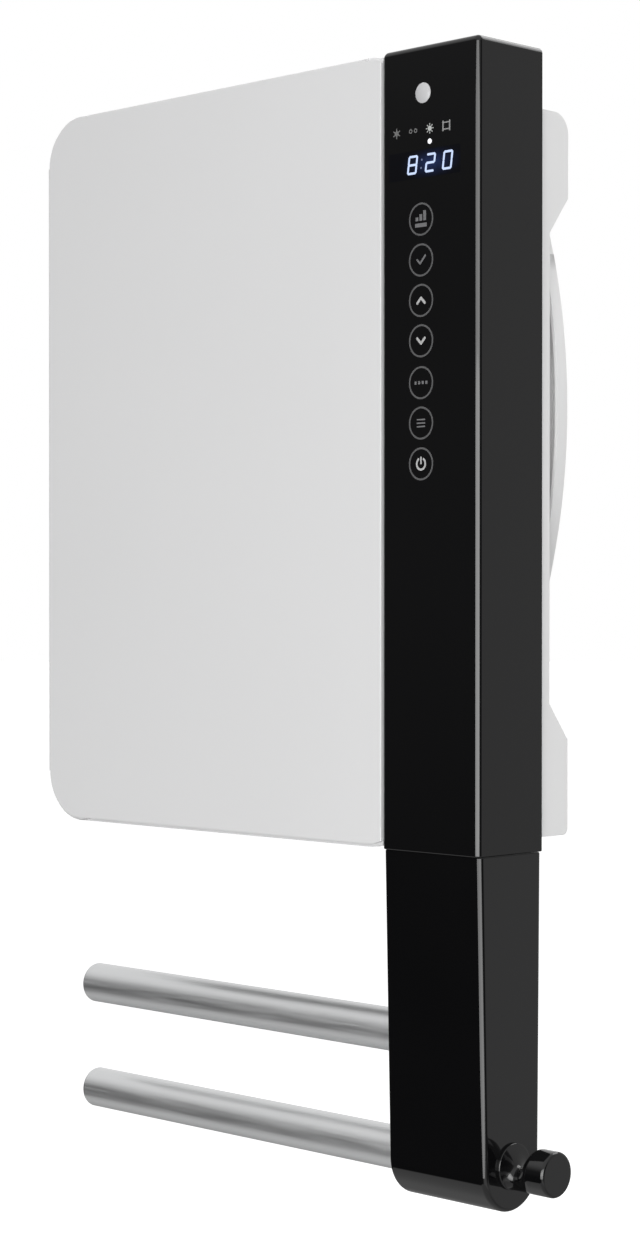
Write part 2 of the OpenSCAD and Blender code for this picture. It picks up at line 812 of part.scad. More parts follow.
// The white rear casing, a shallow tray that is open to the front
module rear_casing() {
    color(casing_white) difference() {
        union() {
            difference() {
                block([-cas_x, y_back, cas_z0], [cas_x, y_recess, cas_z1]);
                block([-cas_x + casing_wall, y_back - past, cas_z0 + casing_wall],
                    [cas_x - casing_wall, y_recess - casing_wall, cas_z1 - casing_wall]);
            }
            for (p = casing_bosses) bar_y(y_back, y_recess - casing_wall / 2, p[0], p[1], boss_d / 2);
            for (p = cowl_fixings) bar_y(cowl_boss_y, y_recess - casing_wall / 2, p[0], p[1], boss_d / 2);
        }
        bar_y(y_back, 0, x_fan, z_fan, inlet_r);
        bar_y(y_back, 0, gland_x, gland_z, gland_r + fit);
        for (p = casing_bosses) {
            bar_y(y_back - past, 0, p[0], p[1], screw_d / 2 + fit);
            bar_y(y_recess - screw_d * 0.8, 0, p[0], p[1], screw_d);
        }
        for (p = cowl_fixings) bar_y(y_back + past, 0, p[0], p[1], screw_d / 2);
        for (p = foot_fixings) bar_y(y_back, 0, p[0], p[1], screw_d / 2 + fit);
    }
}

// Side outline of a foot; side is 1 for the upper and -1 for the lower one, inset draws its inner face
module foot_2d(side, inset) {
    upper = side > 0;
    r = max((upper ? casing_top_r : casing_low_r) - inset, fit);
    y_round = -inset - r;
    z_end = (upper ? cas_z1 : cas_z0) - side * inset;
    z_round = z_end - side * r;
    z_flat = (upper ? foot_top_z : foot_low_z) + side * inset * 0.6;
    z_slope = (upper ? z_recess_top : z_recess_low) + side * inset * 0.6;
    polygon([
        [y_recess - inset, z_end], [y_round, z_end], [y_round, z_round], [-inset, z_round],
        [-inset, z_flat], [y_recess - inset, z_slope]
    ]);
    intersection() {
        translate([y_round, z_round]) circle(r);
        translate([y_recess - inset, z_round - r]) square([-y_recess, 2 * r]);
    }
}

// The two hollow feet that hold the casing off the wall
module casing_feet() {
    color(casing_white) difference() {
        union() {
            for (side = [-1, 1]) difference() {
                on_x(-cas_x, cas_x) foot_2d(side, 0);
                on_x(-cas_x + casing_wall, cas_x - casing_wall) foot_2d(side, casing_wall);
            }
            // floor and walls of the bracket's pocket
            intersection() {
                block([-pocket_x - pocket_wall, -pocket_d - casing_wall, pocket_z0 - pocket_wall],
                    [pocket_x + pocket_wall, 0, pocket_z1 + pocket_wall]);
                on_x(-cas_x, cas_x) foot_2d(1, 0);
            }
            for (p = foot_fixings) bar_y(y_recess, -casing_wall / 2, p[0], p[1], boss_d / 2);
        }
        for (p = foot_fixings) bar_y(y_recess - past, -casing_wall, p[0], p[1], screw_d / 2);
        block([-pocket_x, -pocket_d, pocket_z0], [pocket_x, past, pocket_z1]);
        // slots whose upper edges rest on the bracket's hooks
        for (sx = [-1, 1])
            block([sx * hook_x - hook_w / 2 - 1, -pocket_d - casing_wall - past, -bracket_t - lift],
                [sx * hook_x + hook_w / 2 + 1, -pocket_d + past, fit]);
        // opening for the lower wall clip and its locking screw
        block([-clip_w / 2 - 1, -clip_d, clip_z0 - 0.6], [clip_w / 2 + 1, past, clip_z0 + clip_h + 1]);
        bar_z(cas_z0 - past, cas_z0 + casing_wall + past, 0, -clip_d / 2 - 1, lock_r + fit);
    }
}

// Outline of the intake cowl: flat top and bottom, bowed sides
module cowl_2d(inset) {
    intersection() {
        translate([-cowl_x + inset, z_fan - cowl_h / 2 + inset])
            square([2 * (cowl_x - inset), cowl_h - 2 * inset]);
        translate([cowl_x - cowl_side_r, z_fan]) circle(cowl_side_r - inset);
        translate([cowl_side_r - cowl_x, z_fan]) circle(cowl_side_r - inset);
    }
}

// The cowl that stands off the casing and keeps the intake clear of the wall
module intake_cowl() {
    color(casing_white) difference() {
        on_y(cowl_y0, cowl_y1) cowl_2d(0);
        on_y(cowl_y0 - past, cowl_y1 - cowl_wall) difference() {
            cowl_2d(ring_inset + ring_w + 1);
            for (p = cowl_fixings) translate(p) circle(boss_d / 2);
        }
        // hollow behind the rim, which leaves it as a thin skin
        on_y(cowl_y0 - past, cowl_y1 - cowl_wall) difference() {
            cowl_2d(cowl_wall);
            cowl_2d(ring_inset - 2);
        }
        for (p = cowl_fixings) {
            bar_y(cowl_y0 - past, past, p[0], p[1], screw_d / 2 + fit);
            bar_y(cowl_y1 - screw_d, past, p[0], p[1], screw_d);
        }
    }
}

// The slotted ring between casing and cowl
module intake_ring() {
    h = cowl_h / 2 - ring_inset;
    nx = floor((cowl_x - ring_inset - 24) / slot_pitch);
    nz = floor((h - 8) / slot_pitch);
    y_slot = y_recess + 1.5;
    color(casing_white) difference() {
        on_y(y_recess, cowl_y0) difference() {
            union() {
                difference() {
                    cowl_2d(ring_inset);
                    cowl_2d(ring_inset + ring_w);
                }
                for (p = cowl_fixings) translate(p) circle(boss_d / 2);
            }
            for (p = cowl_fixings) translate(p) circle(screw_d / 2 + fit);
        }
        // slots all round, open towards the cowl
        for (i = [-nx : nx], sz = [-1, 1]) {
            z = z_fan + sz * (h - ring_w / 2);
            block([i * slot_pitch - slot_w / 2, y_slot, z - ring_w / 2 - past],
                [i * slot_pitch + slot_w / 2, cowl_y0 + past, z + ring_w / 2 + past]);
        }
        for (i = [-nz : nz], sx = [-1, 1]) {
            x = sx * (cowl_x - ring_inset - ring_w);
            z = z_fan + i * slot_pitch;
            block([x - 12, y_slot, z - slot_w / 2], [x + 12, cowl_y0 + past, z + slot_w / 2]);
        }
    }
}

// The finger guard in the casing's inlet: rings on six spokes
module inlet_guard() {
    r_out = inlet_r - fit;
    ring_step = (r_out - guard_bar) / guard_rings;
    color(dark_resin) on_y(y_recess - casing_wall, y_recess - fit) translate([x_fan, z_fan]) {
        for (i = [1 : guard_rings]) difference() {
            circle(i * ring_step + guard_bar);
            circle(i * ring_step);
        }
        for (a = [0 : 60 : 120]) rotate(a) square([2 * r_out - 1, guard_bar], center = true);
    }
}

// The fine dust filter in the cowl
module dust_filter() {
    h = filter_side / 2;
    n = floor((filter_side - 10) / filter_pitch);
    o = n * filter_pitch / 2;
    color(dark_resin) on_y(y_recess + fit, y_recess + fit + filter_t) difference() {
        translate([x_fan - h, z_fan - h]) square([2 * h, 2 * h]);
        for (i = [0 : n - 1], j = [0 : n - 1])
            translate([x_fan - o + i * filter_pitch + 0.8, z_fan - o + j * filter_pitch + 0.8])
                square(filter_pitch - 1.6);
    }
}

// ---------- fan ----------

// A point of the scroll's spiral at angle t from the tongue
function spiral(t, inset) =
    let (r = tongue_r + scroll_growth * t / spiral_sweep - inset, a = tongue_a + t)
    [x_fan + r * cos(a), z_fan + r * sin(a)];

// Outline of the scroll, open downwards
module scroll_2d(inset) {
    polygon(concat(
        [for (t = [0 : spiral_step : spiral_sweep]) spiral(t, inset)],
        [[x_out0 + inset, z_out], [x_out1 - inset, z_out]]
    ));
}

// The scroll housing around the impeller, open at the rear and at the outlet
module fan_scroll() {
    color(cream_resin) difference() {
        union() {
            difference() {
                on_y(scroll_y0, scroll_y1) scroll_2d(-scroll_wall);
                on_y(scroll_y0 + scroll_wall, scroll_y1 + past) scroll_2d(0);
                block([x_out0, scroll_y0 + scroll_wall, z_out - past], [x_out1, scroll_y1 + past, z_out + 4]);
            }
            for (p = scroll_lugs)
                difference() {
                    bar_y(y_back - screw_l - 2.5, scroll_y1, p[0], p[1], lug_d / 2);
                    on_y(scroll_y0, scroll_y1 + past) scroll_2d(0);
                }
        }
        for (p = scroll_lugs) bar_y(y_back - screw_l - 0.5, scroll_y1 + past, p[0], p[1], screw_d / 2);
        for (a = [0 : 120 : 240])
            translate([x_fan, 0, z_fan]) rotate([0, a, 0])
                bar_y(scroll_y0 - past, motor_y0 + past, motor_screw_r, 0, screw_d / 2 + fit);
    }
}

// The scroll's rear cover with its rolled inlet
module scroll_cover() {
    lip_r = 3;
    color(cream_resin) difference() {
        union() {
            on_y(cover_y0, y_plate) {
                scroll_2d(-scroll_wall);
                for (p = scroll_lugs) translate(p) circle(lug_d / 2);
            }
        }
        bar_y(cover_y0 - past, y_plate + past, x_fan, z_fan, inlet_r - lip_r);
        for (p = scroll_lugs)
            bar_y(cover_y0 - past, y_plate + past, p[0], p[1], screw_d / 2 + fit);
    }
}

// One forward-curved blade
module blade_2d() {
    intersection() {
        difference() {
            circle(wheel_r - 0.5);
            circle(blade_in_r + 0.5);
        }
        translate([(wheel_r + blade_in_r) / 2, -blade_r]) difference() {
            circle(blade_r);
            circle(blade_r - blade_t);
        }
        translate([blade_in_r - 4, -blade_r]) square([blade_depth + 8, blade_r + past]);
    }
}

// The centrifugal impeller: disc, cup, hub, curved blades and shroud ring
module fan_impeller() {
    color(dark_resin) translate([x_fan, 0, z_fan]) union() {
        translate([0, wheel_y0, 0]) rotate([-90, 0, 0]) difference() {
            rotate_extrude() polygon([
                [cup_r, 0], [wheel_r, 0], [wheel_r, disc_t], [cup_r + disc_t, disc_t],
                [cup_r + disc_t - 3, cup_y1 + disc_t - wheel_y0], [hub_r, cup_y1 + disc_t - wheel_y0],
                [hub_r, shaft_y1 - 2 - wheel_y0], [shaft_d / 2 + snug, shaft_y1 - 2 - wheel_y0],
                [shaft_d / 2 + snug, cup_y1 - 1 - wheel_y0], [hub_r + 1, cup_y1 - 1 - wheel_y0],
                [hub_r + 1, cup_y1 - wheel_y0], [cup_r - 3, cup_y1 - wheel_y0]
            ]);
        }
        on_y(wheel_y0 + disc_t / 2, wheel_y1 - disc_t / 2)
            for (i = [0 : blade_count - 1]) rotate(i * 360 / blade_count) blade_2d();
        on_y(wheel_y1 - disc_t, wheel_y1) difference() {
            circle(wheel_r);
            circle(blade_in_r);
        }
    }
}

// The fan's shaft
module motor_shaft() {
    color(steel) bar_y(shaft_y0, shaft_y1, x_fan, z_fan, shaft_d / 2);
}

// The rotor on the shaft
module motor_rotor() {
    r = rotor_r - rotor_gap / 2;
    y0 = motor_y0 + motor_wall + bush_l + 0.6;
    y1 = motor_y1 - motor_wall - bush_l - 0.6;
    color(steel) difference() {
        bar_y(y0, y1, x_fan, z_fan, r);
        bar_y(y0 - past, y1 + past, x_fan, z_fan, shaft_d / 2 + snug);
    }
}

// The stator: a laminated ring with six wound poles
module motor_stator() {
    y0 = motor_y0 + motor_wall + bush_l * 0.5 + 0.6;
    y1 = motor_y1 - motor_wall - bush_l * 0.5 - 0.6;
    r0 = rotor_r + rotor_gap / 2;
    r1 = motor_inner_r - snug;
    color(copper) on_y(y0, y1) translate([x_fan, z_fan]) difference() {
        union() {
            difference() {
                circle(r1);
                circle(r1 - 3);
            }
            intersection() {
                for (a = [0 : 60 : 300]) rotate(a) translate([r0, -4]) square([r1 - r0 - 1, 8]);
                circle(r1 - 1);
            }
            difference() {
                circle(r0 + 2);
                for (a = [30 : 60 : 330]) rotate(a) translate([r0 - 2, -1]) square([5, 2]);
            }
        }
        circle(r0);
    }
}

// The motor's can with a seat for a bush at each end
module motor_case() {
    color(satin_alloy) difference() {
        bar_y(motor_y0, motor_y1, x_fan, z_fan, motor_d / 2);
        bar_y(motor_y0 + motor_wall, motor_y1 - motor_wall, x_fan, z_fan, motor_inner_r);
        bar_y(motor_y1 - motor_wall - past, motor_y1 + past, x_fan, z_fan, bush_r + snug);
        for (a = [0 : 120 : 240])
            translate([x_fan, 0, z_fan]) rotate([0, a, 0])
                bar_y(motor_y0 - past, motor_y0 + motor_wall + past, motor_screw_r, 0, screw_d / 2);
    }
}

// The two sintered bushes
module motor_bushes() {
    color(copper) for (y = [motor_y0 + motor_wall, motor_y1 - motor_wall - bush_l + 1.5]) difference() {
        bar_y(y, y + bush_l, x_fan, z_fan, bush_r);
        bar_y(y - past, y + bush_l + past, x_fan, z_fan, shaft_d / 2 + shaft_clear);
    }
}

// The three screws that hold the motor on the scroll
module motor_screws() {
    color(steel) for (a = [0 : 120 : 240])
        translate([x_fan, 0, z_fan]) rotate([0, a, 0]) {
            bar_y(scroll_y0, motor_y0 + motor_wall * 1.5, motor_screw_r, 0, screw_d / 2 - snug);
            bar_y(scroll_y0 - screw_d * 0.4, scroll_y0, motor_screw_r, 0, screw_d * 0.9);
        }
}

// ---------- heater and outlet ----------

// The duct that widens from the scroll to the heater
module outlet_duct() {
    w = scroll_wall;
    color(cream_resin) difference() {
        on_y(scroll_y0, scroll_y1) polygon([
            [x_out0 - w, z_out - fit], [x_out1 + w, z_out - fit],
            [frame_x1, frame_z1 + fit], [frame_x0, frame_z1 + fit]
        ]);
        on_y(scroll_y0 + w, scroll_y1 - w) polygon([
            [x_out0, z_out], [x_out1, z_out], [frame_x1 - w, frame_z1], [frame_x0 + w, frame_z1]
        ]);
    }
}

// The heat-proof frame around the heating element
module heater_frame() {
    color(cream_resin) difference() {
        block([frame_x0, outlet_y0, frame_z0], [frame_x1, outlet_y1, frame_z1]);
        block([heater_x0, outlet_y0 + frame_wall, frame_z0 - past],
            [heater_x1, outlet_y1 - frame_wall, frame_z1 + past]);
        // seat of the thermal cut-out
        bar_y(outlet_y1 - frame_wall - past, outlet_y1 + past,
            heater_mid, (frame_z0 + frame_z1) / 2, cutout_r + fit);
    }
}

// One folded fin strip of the heating element
module fin_strip_2d(length, height) {
    n = floor(length / fin_pitch);
    p = length / n;
    s = fin_t;
    top = [for (i = [0 : 2 * n]) [i * p / 2, i % 2 == 0 ? s : height]];
    low = [for (i = [2 * n : -1 : 0]) [i * p / 2, i % 2 == 0 ? 0 : height - s]];
    polygon(concat(top, low));
}

// The folded fins between the heating bars
module heater_fins() {
    y0 = outlet_y0 + frame_wall + fit;
    z0 = frame_z0 + frame_wall;
    color(satin_alloy) for (i = [0 : fin_rows - 1])
        on_y(y0, y0 + heater_d - 2 * fit)
            translate([heater_x0 + 1, z0 + bar_h + i * (fin_h + bar_h) + snug])
                fin_strip_2d(heater_w - 2, fin_h - 2 * snug);
}

// The flat heating bars
module heater_bars() {
    y0 = outlet_y0 + frame_wall + fit;
    z0 = frame_z0 + frame_wall;
    color(steel) for (i = [0 : fin_rows])
        block([heater_x0 + snug, y0, z0 + i * (fin_h + bar_h)],
            [heater_x1 - snug, y0 + heater_d - 2 * fit, z0 + i * (fin_h + bar_h) + bar_h]);
}

// The resettable cut-out in the frame's wall and the one-shot fuse beside it
module thermal_cutouts() {
    z = (frame_z0 + frame_z1) / 2;
    fuse_x = heater_x0 + heater_w * 0.3;
    fuse_y = outlet_y1 + fuse_r + fit;
    color(dark_resin) {
        bar_y(outlet_y1 - frame_wall, outlet_y1 + fit, heater_mid, z, cutout_r);
        bar_y(outlet_y1 + fit, outlet_y1 + cutout_l, heater_mid, z, cutout_r + 2);
        for (sx = [-1, 1])
            block([heater_mid + sx * tab_pitch - tab_w / 2, outlet_y1 + cutout_l - 1, z - 0.4],
                [heater_mid + sx * tab_pitch + tab_w / 2, outlet_y1 + 2 * cutout_l, z + 0.4]);
        bar_x(fuse_x - fuse_l / 2, fuse_x + fuse_l / 2, fuse_y, z, fuse_r);
        bar_x(fuse_x - fuse_l, fuse_x + fuse_l, fuse_y, z, fuse_r * 0.3);
    }
}

// The slatted grille in the underside
module outlet_grille() {
    x0 = frame_x0 + fit;
    x1 = frame_x1 - fit;
    y0 = outlet_y0 + fit;
    y1 = outlet_y1 - fit;
    w = 2.6;
    color(dark_resin) union() {
        difference() {
            block([x0, y0, grille_z0], [x1, y1, grille_z1]);
            block([x0 + w, y0 + w, grille_z0 - past], [x1 - w, y1 - w, grille_z1 + past]);
        }
        for (i = [1 : slat_count])
            on_x(x0 + w / 2, x1 - w / 2)
                translate([y0 + w + i * (y1 - y0 - 2 * w) / (slat_count + 1), grille_z0 + slat_h / 2])
                    rotate(-12) square([slat_t, slat_h - 1], center = true);
        for (i = [1 : 5])
            block([x0 + i * (x1 - x0) / 6 - 1, y0 + w / 2, grille_z0 + slat_h - 3],
                [x0 + i * (x1 - x0) / 6 + 1, y1 - w / 2, grille_z1]);
    }
}

// ---------- electrical ----------

// The power board above the fan
module power_board() {
    color(board_green) difference() {
        block([pcb_x0, pcb_y0, pcb_z0], [pcb_x1, pcb_y1 - snug, pcb_z1]);
        for (p = pcb_holes) bar_y(pcb_y0 - past, pcb_y1 + past, p[0], p[1], screw_d / 2 + fit / 2);
    }
}

// The three relays on the power board
module relays() {
    z1 = pcb_z1 - 2 * pcb_hole_in;
    color(dark_resin) for (i = [0 : 2])
        block([pcb_x0 + relay_in + i * relay_pitch, pcb_y0 - relay_h, z1 - relay_h],
            [pcb_x0 + relay_in + i * relay_pitch + relay_w, pcb_y0 - snug, z1]);
}

// The capacitors on the power board
module capacitors() {
    color([0.75, 0.6, 0.2]) for (i = [0 : 2])
        bar_y(pcb_y0 - film_l, pcb_y0 - snug, pcb_x1 - film_in - i * film_pitch,
            pcb_z1 - 3 * pcb_hole_in, film_r);
}

// The finned heat sink of the fan's triac
module triac_heat_sink() {
    x0 = pcb_x1 - sink_in - sink_w;
    z0 = pcb_z0 + sink_base;
    pitch = (sink_w - sink_fin_t) / (sink_fins - 1);
    color(satin_alloy) union() {
        block([x0, pcb_y0 - sink_base, z0], [x0 + sink_w, pcb_y0 - snug, z0 + sink_h]);
        for (i = [0 : sink_fins - 1])
            block([x0 + i * pitch, pcb_y0 - sink_d, z0],
                [x0 + i * pitch + sink_fin_t, pcb_y0 - sink_base + 1, z0 + sink_h]);
    }
}

// The mains terminal block with three ways
module terminal_block() {
    y0 = y_plate - block_d;
    color(cream_resin) difference() {
        block([block_x - block_w / 2, y0, block_z - block_h / 2],
            [block_x + block_w / 2, y_plate - snug, block_z + block_h / 2]);
        for (i = [-1 : 1]) {
            bar_y(y0 - past, y0 + block_d * 0.4, block_x + i * way_pitch, block_z, way_r);
            bar_z(block_z - block_h / 2 - past, block_z + block_h / 2 + past, block_x + i * way_pitch,
                y_plate - block_d * 0.44, way_r * 0.8);
        }
    }
}

// The gland through which the supply cable comes in
module cable_gland() {
    color(dark_resin) difference() {
        union() {
            bar_y(y_plate - gland_l, y_recess + 3, gland_x, gland_z, gland_r);
            bar_y(y_recess + fit, y_recess + 5, gland_x, gland_z, gland_r + 3);
        }
        bar_y(y_plate - gland_l - past, y_recess + 5 + past, gland_x, gland_z, cable_bore_d / 2);
    }
}

// The bar that clamps the supply cable
module cable_clamp() {
    color(cream_resin) difference() {
        union() {
            block([gland_x - clamp_w / 2, y_plate - clamp_h - 1, clamp_z - clamp_h / 2],
                [gland_x + clamp_w / 2, y_plate - snug, clamp_z + clamp_h / 2]);
            for (sx = [-1, 1])
                bar_y(y_plate - clamp_h - 3, y_plate - snug, gland_x + sx * clamp_w * 0.36, clamp_z,
                    clamp_h * 0.45);
        }
        bar_z(clamp_z - clamp_h, clamp_z + clamp_h, gland_x, y_plate, cable_bore_d / 2);
    }
}

// The earth stud with its nut and washer
module earth_stud() {
    x = block_x - block_w / 2 - 4 * earth_r;
    color(copper) union() {
        bar_y(y_plate - 6 * earth_r, y_plate - snug, x, block_z, earth_r);
        bar_y(y_plate - 0.6 * earth_r, y_plate - snug, x, block_z, 2.5 * earth_r);
        on_y(y_plate - 2.5 * earth_r, y_plate - earth_r / 2)
            translate([x, block_z]) circle(2 * earth_r, $fn = 6);
    }
}

// The control board behind the fascia
module control_board() {
    color(board_green) block([board_x0, board_y0, board_z0], [board_x1, board_y1, board_z1]);
}

// The four-digit display
module display_module() {
    z = z_top - display_drop;
    color(dark_resin) block([display_x - display_w / 2, lens_y1 + fit, z - display_h / 2],
        [display_x + display_w / 2, board_y0 - snug, z + display_h / 2]);
}

// The sprung sensing pads of the touch keys
module touch_pads() {
    color(steel) for (i = [0 : key_count - 1])
        translate([key_x, board_y0 - snug, z_top - key_drop - i * key_pitch]) rotate([90, 0, 0]) {
            cylinder(h = board_gap - fit - snug, r = pad_d / 2 - 1.5);
            translate([0, 0, board_gap - 1.5 - fit]) cylinder(h = 1.5 - snug, r = pad_d / 2);
        }
}

// The indicator's light guide
module indicator_light() {
    color([0.9, 0.93, 1]) bar_y(lens_y1 + fit, board_y0 - snug, led_x, z_top - led_drop, led_d / 2);
}

// The presence sensor with its low dome
module presence_sensor() {
    r = sensor_d / 2;
    dome_r = (r * r + sensor_proud * sensor_proud) / (2 * sensor_proud);
    z = z_top - sensor_drop;
    color([0.78, 0.79, 0.8]) union() {
        bar_y(y_front, board_y0 - snug, sensor_x, z, r);
        intersection() {
            translate([sensor_x, y_front - sensor_proud + dome_r, z]) sphere(dome_r, $fn = 180);
            bar_y(y_front - sensor_proud - past, y_front + 0.5, sensor_x, z, r);
        }
    }
}

// The flat cable from the power board into the column
module ribbon_cable() {
    xa = pcb_x1 - ribbon_w / 2;
    xb = x_split + ribbon_w;
    y1 = y_plate - ribbon_gap;
    za = ribbon_z - ribbon_w / 2;
    zb = ribbon_z + ribbon_w / 2;
    color([0.55, 0.57, 0.6]) union() {
        block([xa, y1 - ribbon_t, za], [xb, y1, zb]);
        block([xa, y1 - ribbon_t, za], [xa + ribbon_t, pcb_y0 - snug, zb]);
        block([xb - ribbon_t, board_y1 + snug, za], [xb, y1, zb]);
    }
}

// The two sleeved leads from the power board to the heater
module heater_leads() {
    xa = pcb_x1 - lead_pitch;
    y = outlet_y0 + heater_d / 2;
    color([0.7, 0.15, 0.12]) for (i = [0, 1]) {
        x = frame_x1 + (i + 1.2) * lead_pitch;
        z_board = pcb_z1 - (4 - i) * lead_pitch;
        z_heater = frame_z0 + heater_h * (0.9 - 0.5 * i);
        rod_through([
            [xa, pcb_y0 - snug, z_board], [xa, y, z_board],
            [x, y, z_board], [x, y, z_heater], [frame_x1 + snug, y, z_heater]
        ], lead_r);
    }
}

// ---------- rails and hook ----------

// An aluminium rail tube
module rail_tube(z) {
    color(satin_alloy) difference() {
        bar_x(rail_x0, spine_xb - spine_t - snug, y_axis, z, rail_d / 2);
        bar_x(rail_x0 - past, spine_xb, y_axis, z, rail_d / 2 - rail_wall);
    }
}
module towel_rail_upper() {
    rail_tube(z_rail_up);
}
module towel_rail_lower() {
    rail_tube(z_axis);
}

// The rounded caps at the rails' free ends
module rail_end_caps() {
    r = rail_d / 2;
    color(satin_alloy) for (z = [z_rail_up, z_axis])
        translate([rail_x0 - snug, y_axis, z]) rotate([0, -90, 0]) rotate_extrude() {
            square([r, cap_t - cap_edge_r]);
            square([r - cap_edge_r, cap_t]);
            translate([r - cap_edge_r, cap_t - cap_edge_r]) intersection() {
                circle(cap_edge_r);
                square(cap_edge_r);
            }
            translate([0, -10]) square([r - rail_wall - 0.1, 10.5]);
        }
}

// The plugs in the rails' fixed ends
module rail_plugs() {
    x1 = spine_xb - spine_t - snug;
    color(steel) for (z = [[z_rail_up, z_rail_up], [z_axis, z_stud]]) difference() {
        bar_x(x1 - plug_l, x1, y_axis, z[0], rail_d / 2 - rail_wall - 0.1);
        bar_x(x1 - plug_l + 3, x1 + past, y_axis, z[1], stud_d / 2);
    }
}

// The socket screw that holds the upper rail
module rail_screw() {
    color(steel) difference() {
        union() {
            bar_x(spine_xb - spine_t - plug_l + 6, spine_xb + snug, y_axis, z_rail_up, stud_d / 2 - snug);
            bar_x(spine_xb + snug, spine_xb + stud_d, y_axis, z_rail_up, stud_d * 0.8);
        }
        on_x(spine_xb + stud_d * 0.4, spine_xb + stud_d + past)
            translate([y_axis, z_rail_up]) circle(stud_d * 0.45, $fn = 6);
    }
}

// The stud that joins the lower rail and the hook
module hook_stud() {
    color(steel) bar_x(spine_xb - spine_t - plug_l + 6, x_right + hook_len * stud_share, y_axis, z_stud,
        stud_d / 2 - snug);
}

// The nut that holds the stud on the spine
module stud_nut() {
    color(steel) difference() {
        on_x(spine_xb + snug, spine_xb + stud_d * 0.8)
            translate([y_axis, z_stud]) circle(stud_d * 0.95, $fn = 6);
        bar_x(spine_xb - past, spine_xb + stud_d, y_axis, z_stud, stud_d / 2);
    }
}

// The robe hook: a round head, scooped at its top into a saddle with a low neck
module robe_hook() {
    rf = hook_foot_d / 2;
    rn = hook_neck_d / 2;
    rh = hook_head_d / 2;
    h0 = hook_foot_t + hook_flare_r;
    h1 = hook_len - hook_rim_t;
    h_saddle = (h0 + 2 * h1) / 3 - 1;
    r_saddle = rn + 0.7 * (rh + hook_neck_drop - rn);
    flare = [
        for (a = [0 : 15 : 90])
            [rn + hook_flare_r * (1 - sin(a)), hook_foot_t + hook_flare_r * (1 - cos(a))]
    ];
    saddle = [for (t = [0.2 : 0.2 : 1]) [rn + (r_saddle - rn) * pow(t, 1.35), h0 + (h_saddle - h0) * t]];
    color(gloss_black) translate([x_right + 0.1, y_axis, z_hook]) rotate([0, 90, 0]) difference() {
        union() {
            rotate_extrude() polygon([[0, 0], [rf, 0], [rf, hook_foot_t - 0.6], [rf - 0.6, hook_foot_t],
                [0, hook_foot_t]]);
            intersection() {
                rotate_extrude() {
                    square([rh, hook_len - hook_rim_r]);
                    square([rh - hook_rim_r, hook_len]);
                    translate([rh - hook_rim_r, hook_len - hook_rim_r]) intersection() {
                        circle(hook_rim_r);
                        square(hook_rim_r);
                    }
                }
                translate([hook_neck_drop, 0, 0]) rotate_extrude() polygon(concat(
                    [[0, hook_foot_t / 2], [rn + hook_flare_r, hook_foot_t / 2]], flare, saddle,
                    [[rh + hook_neck_drop + fit, h1], [rh + hook_neck_drop + fit, hook_len + past],
                        [0, hook_len + past]]
                ));
            }
        }
        translate([hook_neck_drop, 0, -past]) cylinder(h = hook_len * stud_share + past + 1, r = stud_d / 2);
    }
}

// ---------- wall fixing and fasteners ----------

// The wall bracket with two hooks and four fixing holes
module wall_bracket() {
    color(steel) difference() {
        union() {
            block([-bracket_w / 2, -bracket_t, -bracket_h / 2], [bracket_w / 2, 0, bracket_h / 2]);
            for (sx = [-1, 1]) {
                block([sx * hook_x - hook_w / 2, tab_y1 - bracket_t, -bracket_t],
                    [sx * hook_x + hook_w / 2, -bracket_t / 2, 0]);
                block([sx * hook_x - hook_w / 2, tab_y1 - bracket_t, -bracket_t],
                    [sx * hook_x + hook_w / 2, tab_y1, tab_h]);
            }
        }
        for (sx = [-1, 1], sz = [-1, 1])
            bar_y(-bracket_t - past, past, sx * fix_x / 2, sz * fix_z / 2, fix_hole_d / 2);
    }
}

// The lower wall clip that the locking screw enters
module lower_clip() {
    color(steel) difference() {
        union() {
            block([-clip_w / 2, -bracket_t, clip_z0], [clip_w / 2, 0, clip_z0 + clip_h]);
            block([-clip_w / 2, -clip_d + 0.5, clip_z0], [clip_w / 2, -bracket_t / 2, clip_z0 + bracket_t]);
        }
        bar_y(-bracket_t - past, past, 0, clip_z0 + clip_h * 0.6, fix_hole_d / 2);
        bar_z(clip_z0 - past, clip_z0 + bracket_t + past, 0, -clip_d / 2 - 1, lock_r);
    }
}

// The locking screw in the casing's underside
module locking_screw() {
    color(steel) union() {
        bar_z(cas_z0 - 1, clip_z0 + bracket_t + 6, 0, -clip_d / 2 - 1, lock_r - snug);
        bar_z(cas_z0 - lock_r * 1.2, cas_z0 - snug, 0, -clip_d / 2 - 1, lock_r * 1.9);
    }
}

// Screws from the back plate into the panel's bosses
module panel_screws() {
    color(steel) for (p = panel_bosses) rear_screw(p[0], p[1], y_back, screw_l, screw_d);
}

// Screws that hold the casing on the back plate
module casing_screws() {
    color(steel) {
        for (p = casing_bosses) rear_screw(p[0], p[1], y_recess - screw_d * 0.8, screw_l - 1, screw_d);
        for (p = cowl_fixings)
            rear_screw(p[0], p[1], cowl_y1 - screw_d, cowl_y1 - screw_d - cowl_boss_y - 1, screw_d);
        for (p = foot_fixings) {
            bar_y(y_recess - casing_wall - screw_d / 2, -casing_wall - 1, p[0], p[1], screw_d / 2 - snug);
            bar_y(y_recess - casing_wall - screw_d * 0.7, y_recess - casing_wall, p[0], p[1], screw_d * 0.95);
        }
    }
}

// Screws that hold the spine on the back plate, heads inside the column
module spine_screws() {
    color(steel) for (z = spine_screw_z) {
        bar_y(spine_y0, y_back, x_mid, z, screw_d / 2);
        bar_y(spine_y0 - screw_d * 0.7, spine_y0, x_mid, z, screw_d);
    }
}

// Screws that hold the scroll on the back plate
module scroll_screws() {
    color(steel) for (p = scroll_lugs) rear_screw(p[0], p[1], y_back, screw_l, screw_d);
}

// ---------- mains switch ----------

